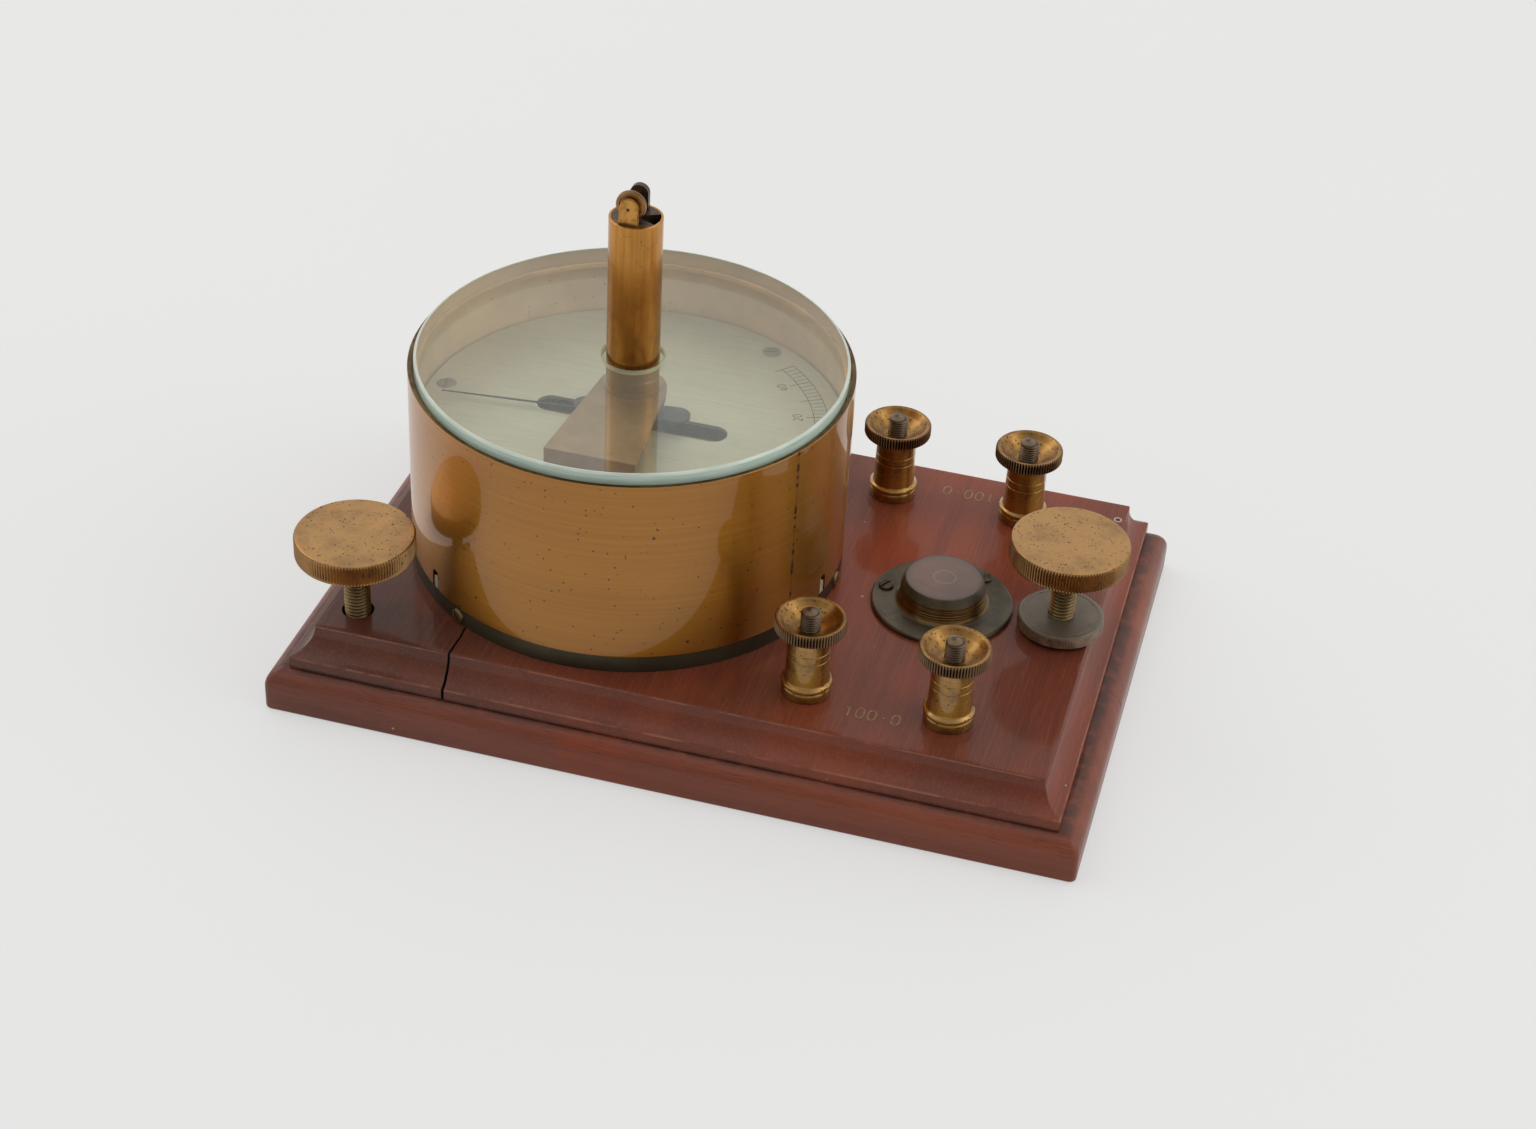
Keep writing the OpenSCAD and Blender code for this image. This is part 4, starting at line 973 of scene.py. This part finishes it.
def make_windlass():
    box = Span("windlass_wheel")
    radius = box.half.z
    wide = box.hi.y - box.lo.y
    teeth = 44
    bore = 0.47
    profile = [(bore, 0), (radius - 0.35, 0)] + side(radius, 0.3, wide - 0.3, (wide - 0.6) / 4)
    profile += [(radius - 0.35, wide), (radius - 1, wide), (radius - 1.2, wide - 0.25), (bore, wide - 0.25)]
    shape = knurl(teeth, 0.35, radius, 0.1, wide - 0.1, 0.4)
    wheel = lathe("windlass_knurled_wheel", profile, (0, 0, 0), teeth * 6, shape)
    lay = Matrix.Rotation(math.radians(90), 4, "X")
    wheel.matrix_world = Matrix.Translation(Vector((box.mid.x, box.hi.y, box.mid.z)) * MM) @ lay
    settle(wheel, WHEEL, "windlass", "aged_brass", "windlass_wheel")


# Terminals

def post_profile(top):
    """A binding post: a plinth ring, a bead over a groove, and a slightly tapered shaft."""
    bore = 2.9
    foot = [(bore, 0, 0), (7.0, 0, 0.3), (7.0, 2.5, 0.35), (6.75, 2.9, 0.1), (6.75, 3.1, 0.1)]
    bead = [(7.2, 3.5, 0.4), (7.2, 4.3, 0.5), (6.35, 4.75, 0.25), (6.25, 5.2, 0.3)]
    turned = [(radius, DECK + height, ease) for radius, height, ease in foot + bead]
    return eased(turned + [(6.0, top - 0.1, 0.0), (5.88, top, 0.0), (bore, top, 0)], 0.2)


def nut_profile(low, high, outer):
    """A knurled nut: a neck that grows into the rim, a narrow flat lip and a dished top."""
    rim_low = high - NUT_RIM_HIGH
    neck = [(2.9, low), (5.88, low, 0), (6.0, low + 0.1, 0), (6.0, rim_low - 1.1, 0.8), (6.9, rim_low, 0.3)]
    rim = [(outer - 0.45, rim_low, 0.2)] + side(outer, rim_low + 0.4, high - 0.4, 2.9 / 6)
    rim += [(outer - 0.4, high, 0.1), (outer - 1.2, high, 0.25)]
    bowl = [(7.25, high - 1.75, 0.8), (5.6, high - 2.75, 0.8), (4.2, high - 3.4, 0.5), (2.9, high - 3.5)]
    return eased(neck + rim + bowl, 0.2)


def make_nut(corner, nut, place):
    outer = nut.half.x
    rim_low = nut.hi.z - NUT_RIM_HIGH
    shape = knurl(NUT_TEETH, 0.45, outer, rim_low + 0.05, nut.hi.z - 0.05, 0.4)
    profile = nut_profile(nut.lo.z, nut.hi.z, outer)
    made = lathe("knurled_nut_" + corner, profile, place, NUT_TEETH * 8, shape)

    def pick(across, height, up):
        if across > outer - 0.45 or (up < -0.3 and across > 7.2):
            return 1
        return 2 if height < rim_low else 0

    dress(made, (NUT, NUT_RIM, POST), pick)
    settle(made, None, "thumb_nut_" + corner, "turned_brass", "thumb_nut_" + corner)


def make_stud(corner, place):
    studs = Span("terminal_studs")
    radius = 2.85
    start = DECK + 13
    rise = 1.1
    base = studs.hi.z - rise
    profile = [(0, studs.lo.z), (radius, studs.lo.z)] + side(radius, start, base, STUD_PITCH / 8)
    profile += dome(radius, base, rise, 12)
    shape = thread(radius, STUD_PITCH, 0.38, start, studs.hi.z - 0.7)
    made = lathe("threaded_stud_" + corner, profile, place, 48, shape)
    settle(made, STUD, "root", "aged_brass", "terminal_studs")


def make_terminals():
    for corner in CORNERS:
        nut = Span("thumb_nut_" + corner)
        node = "clamp_washer_" + corner
        low = Span(node).lo.z
        high = nut.lo.z
        place = (nut.mid.x, nut.mid.y, 0)
        made = lathe("binding_post_" + corner, post_profile(low), place, 96)
        settle(made, POST, "root", "turned_brass", "terminal_posts")
        washer = [(2.9, low), (5.88, low), (6.0, low + 0.1), (6.0, high - 0.1), (5.88, high), (2.9, high)]
        made = lathe("clamping_washer_" + corner, washer, place, 96)
        settle(made, POST, node, "turned_brass", node)
        make_nut(corner, nut, place)
        make_stud(corner, place)


# Levelling screws

def make_head(corner, body):
    box = Span("levelling_head_" + corner)
    low = box.lo.z
    high = box.hi.z
    outer = box.half.x
    profile = [(3.82, low), (6.0, low, 0.3), (outer - 0.5, low, 0.3)]
    profile += side(outer, low + 0.5, high - 0.5, (high - low - 1) / 8)
    profile += [(outer - 0.45, high, 0.12), (outer - 1.2, high, 0), (8.0, high, 0), (0, high)]
    shape = knurl(HEAD_TEETH, 0.6, outer, low + 0.1, high - 0.1)
    made = lathe("knurled_head_" + corner, eased(profile, 0.2), (box.mid.x, box.mid.y, 0), HEAD_TEETH * 8,
                 shape, closed=False)
    dress(made, (HEAD, RIM), lambda across, height, up: across > outer - 0.3 or up < -0.5)
    settle(made, None, body, "turned_brass", "levelling_head_" + corner)


def make_rod(corner, body):
    box = Span(body)
    low = box.lo.z
    high = box.hi.z
    radius = box.half.x
    bore = 2.25
    start = low + 0.5
    profile = [(bore, low), (radius, low + 0.01)] + side(radius, start, high, ROD_PITCH / 8) + [(bore, high)]
    shape = thread(radius, ROD_PITCH, 0.55, start, high)
    made = lathe("threaded_rod_" + corner, profile, (box.mid.x, box.mid.y, 0), 48, shape)
    settle(made, ROD, body, "aged_brass", body)


def make_levelling():
    for corner in LEVEL_CORNERS:
        make_head(corner, "levelling_screw_" + corner)
        make_rod(corner, "levelling_screw_" + corner)


def make_lock_nut():
    box = Span("lock_nut")
    low = box.lo.z
    high = box.hi.z
    outer = box.half.x
    bore = 3.85
    profile = [(bore, low), (outer - 0.8, low, 0.2), (outer, low + 0.7, 0.2)]
    profile += side(outer, low + 0.7, low + 3.6, 2.9 / 5)[1:]
    profile += [(outer - 0.3, high - 0.3, 0.2), (outer - 0.9, high, 0.2), (outer - 1.9, high, 0.05),
                (outer - 2.0, high - 0.1, 0.05), (outer - 2.15, high, 0.05), (6.0, high, 0), (bore, high)]
    shape = knurl(LOCK_TEETH, 0.12, outer, low + 0.5, high - 0.5)
    made = lathe("round_lock_nut", eased(profile, 0.1), (box.mid.x, box.mid.y, 0), LOCK_TEETH * 4, shape)
    dress(made, (LOCK, LOCK_RIM), lambda across, height, up: abs(up) < 0.4 and across > 8)
    settle(made, None, "lock_nut", "olive_bronze", "lock_nut")


# Circular level

def make_level_cup(base, cap_low, flange, place):
    """A flange, a neck with three grooves and a seat for the cap."""
    profile = [
        (0, base), (flange - 0.2, base, 0), (flange, base + 0.3, 0.15), (flange, base + 1.15, 0.3),
        (flange - 0.5, base + 1.5, 0.2), (14.6, base + 1.5, 0), (13.7, base + 1.55, 0.5),
        (12.9, base + 2.2, 0.4),
    ]
    for i in range(3):
        z = base + 2.7 + 0.8 * i
        for radius, up in ((12.75, 0), (12.55, 0.12), (12.72, 0.26)):
            profile.append((radius - 0.12 * i, z + up, 0.05))
    profile += [(12.4, cap_low, 0.1), (10.2, cap_low, 0)]
    cup = lathe("level_cup_turned", eased(profile, 0.2), place, 160, closed=False)
    dress(cup, (OLIVE, CUP), lambda across, height, up: height > base + 1.8)
    settle(cup, None, "root", "olive_bronze", "level_cup")


def make_level_cap(low, high, bore, place):
    """A beaded side and a rounded top with a seat for the glass."""
    inner = 9.9
    profile = [
        (inner, low, 0), (12.35, low, 0.05), (12.35, low + 0.35, 0.05), (12.2, low + 0.5, 0.05),
        (12.35, low + 0.7, 0.05), (12.3, low + 1.3, 0.3), (11.4, high - 0.4, 0.3), (11.15, high, 0.15),
        (bore, high, 0.05), (bore, high - 1.2, 0), (inner, high - 1.2, 0),
    ]
    cap = lathe("level_cap_turned", eased(profile, 0.1), place, 160)
    dress(cap, (OLIVE, CUP), lambda across, height, up: height < low + 1.3)
    settle(cap, None, "root", "olive_bronze", "level_cap")


def make_level():
    cup = Span("level_cup")
    cap = Span("level_cap")
    place = (cup.mid.x, cup.mid.y, 0)
    make_level_cup(cup.lo.z, cap.lo.z, cup.half.x, place)
    make_level_cap(cap.lo.z, cap.hi.z, Span("level_glass").half.x + 0.03, place)


# CAD nodes that keep their shape

KEPT = (
    (RING, "base_ring"),
    (PIN, "base_ring_screws coil_base_screws bracket_screws fibre_barrel"),
    (IRON, "base_wood_screws windlass_axle"),
    (IRON, "levelling_foot_front_left levelling_foot_back_left levelling_foot_right"),
    (DRUM_INSIDE, "glass_ledge"),
    (DIAL, "dial_plate"),
    (AGED, "dial_pillars tube_ring_nut terminal_back_nuts levelling_bushes lock_washer"),
    (EBONITE, "coil_base"),
    (BOXWOOD, "front_bobbin back_bobbin"),
    (WIRE, "front_winding back_winding coil_leads"),
    (BRACKET, "tube_bracket"),
    (LUGS, "torsion_head"),
    (SILK, "silk_fibre"),
    (STEEL, "needle_staff upper_needle lower_needle"),
    (BLACK, "pointer"),
    (WINDOW, "level_glass"),
    (SPIRIT, "level_spirit"),
)


def dress_kept_nodes():
    for material, names in KEPT:
        for name in names.split():
            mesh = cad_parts[name].data
            mesh.materials.clear()
            mesh.materials.append(material)


# Stage, light and camera

def make_stage():
    """A wide pale floor that glows a little for the camera and in what mirrors it."""
    far = 7000
    corners = [(-far, -far, 0), (far, -far, 0), (far, far, 0), (-far, far, 0)]
    floor = new_object("floor", corners, [(0, 1, 2, 3)])
    p = Paint("pale_floor")
    colour = p.mix(p.band(p.noise(3.0, 2.0, 0.5), 0.3, 0.7), (229, 229, 228), (231, 231, 230))
    paper = p.principled(Base_Color=colour, Roughness=0.9, Specular_IOR_Level=0.1)
    glow = p.node("Emission", {"Color": srgb(235, 235, 234), "Strength": 1.0}).outputs[0]
    rays = p.node("LightPath").outputs
    mirrored = p.larger(rays["Is Glossy Ray"], rays["Is Transmission Ray"])
    seen = p.times(p.larger(rays["Is Camera Ray"], mirrored), 0.6)
    floor.data.materials.append(p.done(p.blend(seen, paper, glow)))


def make_world():
    """A bright room with a darker side behind the camera."""
    p = Paint("studio", world=True)
    depth = p.node("SeparateXYZ", {0: p.point}).outputs[1]
    strength = p.band(depth, -0.9, -0.15, 0.3, 0.94)
    light = p.node("Background", {"Color": (1.0, 0.995, 0.985, 1.0), "Strength": strength})
    bpy.context.scene.world = p.done(light.outputs[0])


def lamp(name, place, target, side, power):
    """A square softbox. Its places and its side are in metres."""
    data = bpy.data.lights.new(name, "AREA")
    data.shape = "SQUARE"
    data.size = side
    data.energy = power
    made = linked(name, data)
    made.location = place
    made.rotation_mode = "QUATERNION"
    made.rotation_quaternion = (Vector(target) - Vector(place)).to_track_quat("-Z", "Y")


def make_camera():
    """The camera as it was fitted to the photo's edges. Its place and its reach are in metres."""
    up = Vector((-0.19244142, 0.55016498, 0.8125791))
    forward = Vector((-0.19058642, 0.79133519, -0.58091775))
    data = bpy.data.cameras.new("camera")
    data.lens = 65.34
    data.sensor_width = 36.0
    data.clip_start = 0.05
    data.clip_end = 20.0
    made = linked("camera", data)
    turn = Matrix((forward.cross(up), up, -forward)).transposed().to_4x4()
    made.matrix_world = Matrix.Translation((0.16427, -0.64591, 0.50159)) @ turn
    bpy.context.scene.camera = made


make_camera()
make_stage()
make_world()
lamp("left_softbox", (-1.5, 0.4, 1.3), (0, 0, 0.05), 1.0, 5.0)
lamp("right_softbox", (1.5, 0.2, 1.3), (0, 0, 0.05), 1.0, 4.0)
dress_kept_nodes()
make_boards()
make_drum()
make_key_pins()
make_glass()
make_scale()
make_numbers()
make_screws()
make_tube()
make_windlass()
make_terminals()
make_levelling()
make_lock_nut()
make_level()

bpy.context.scene.view_settings.view_transform = "Standard"
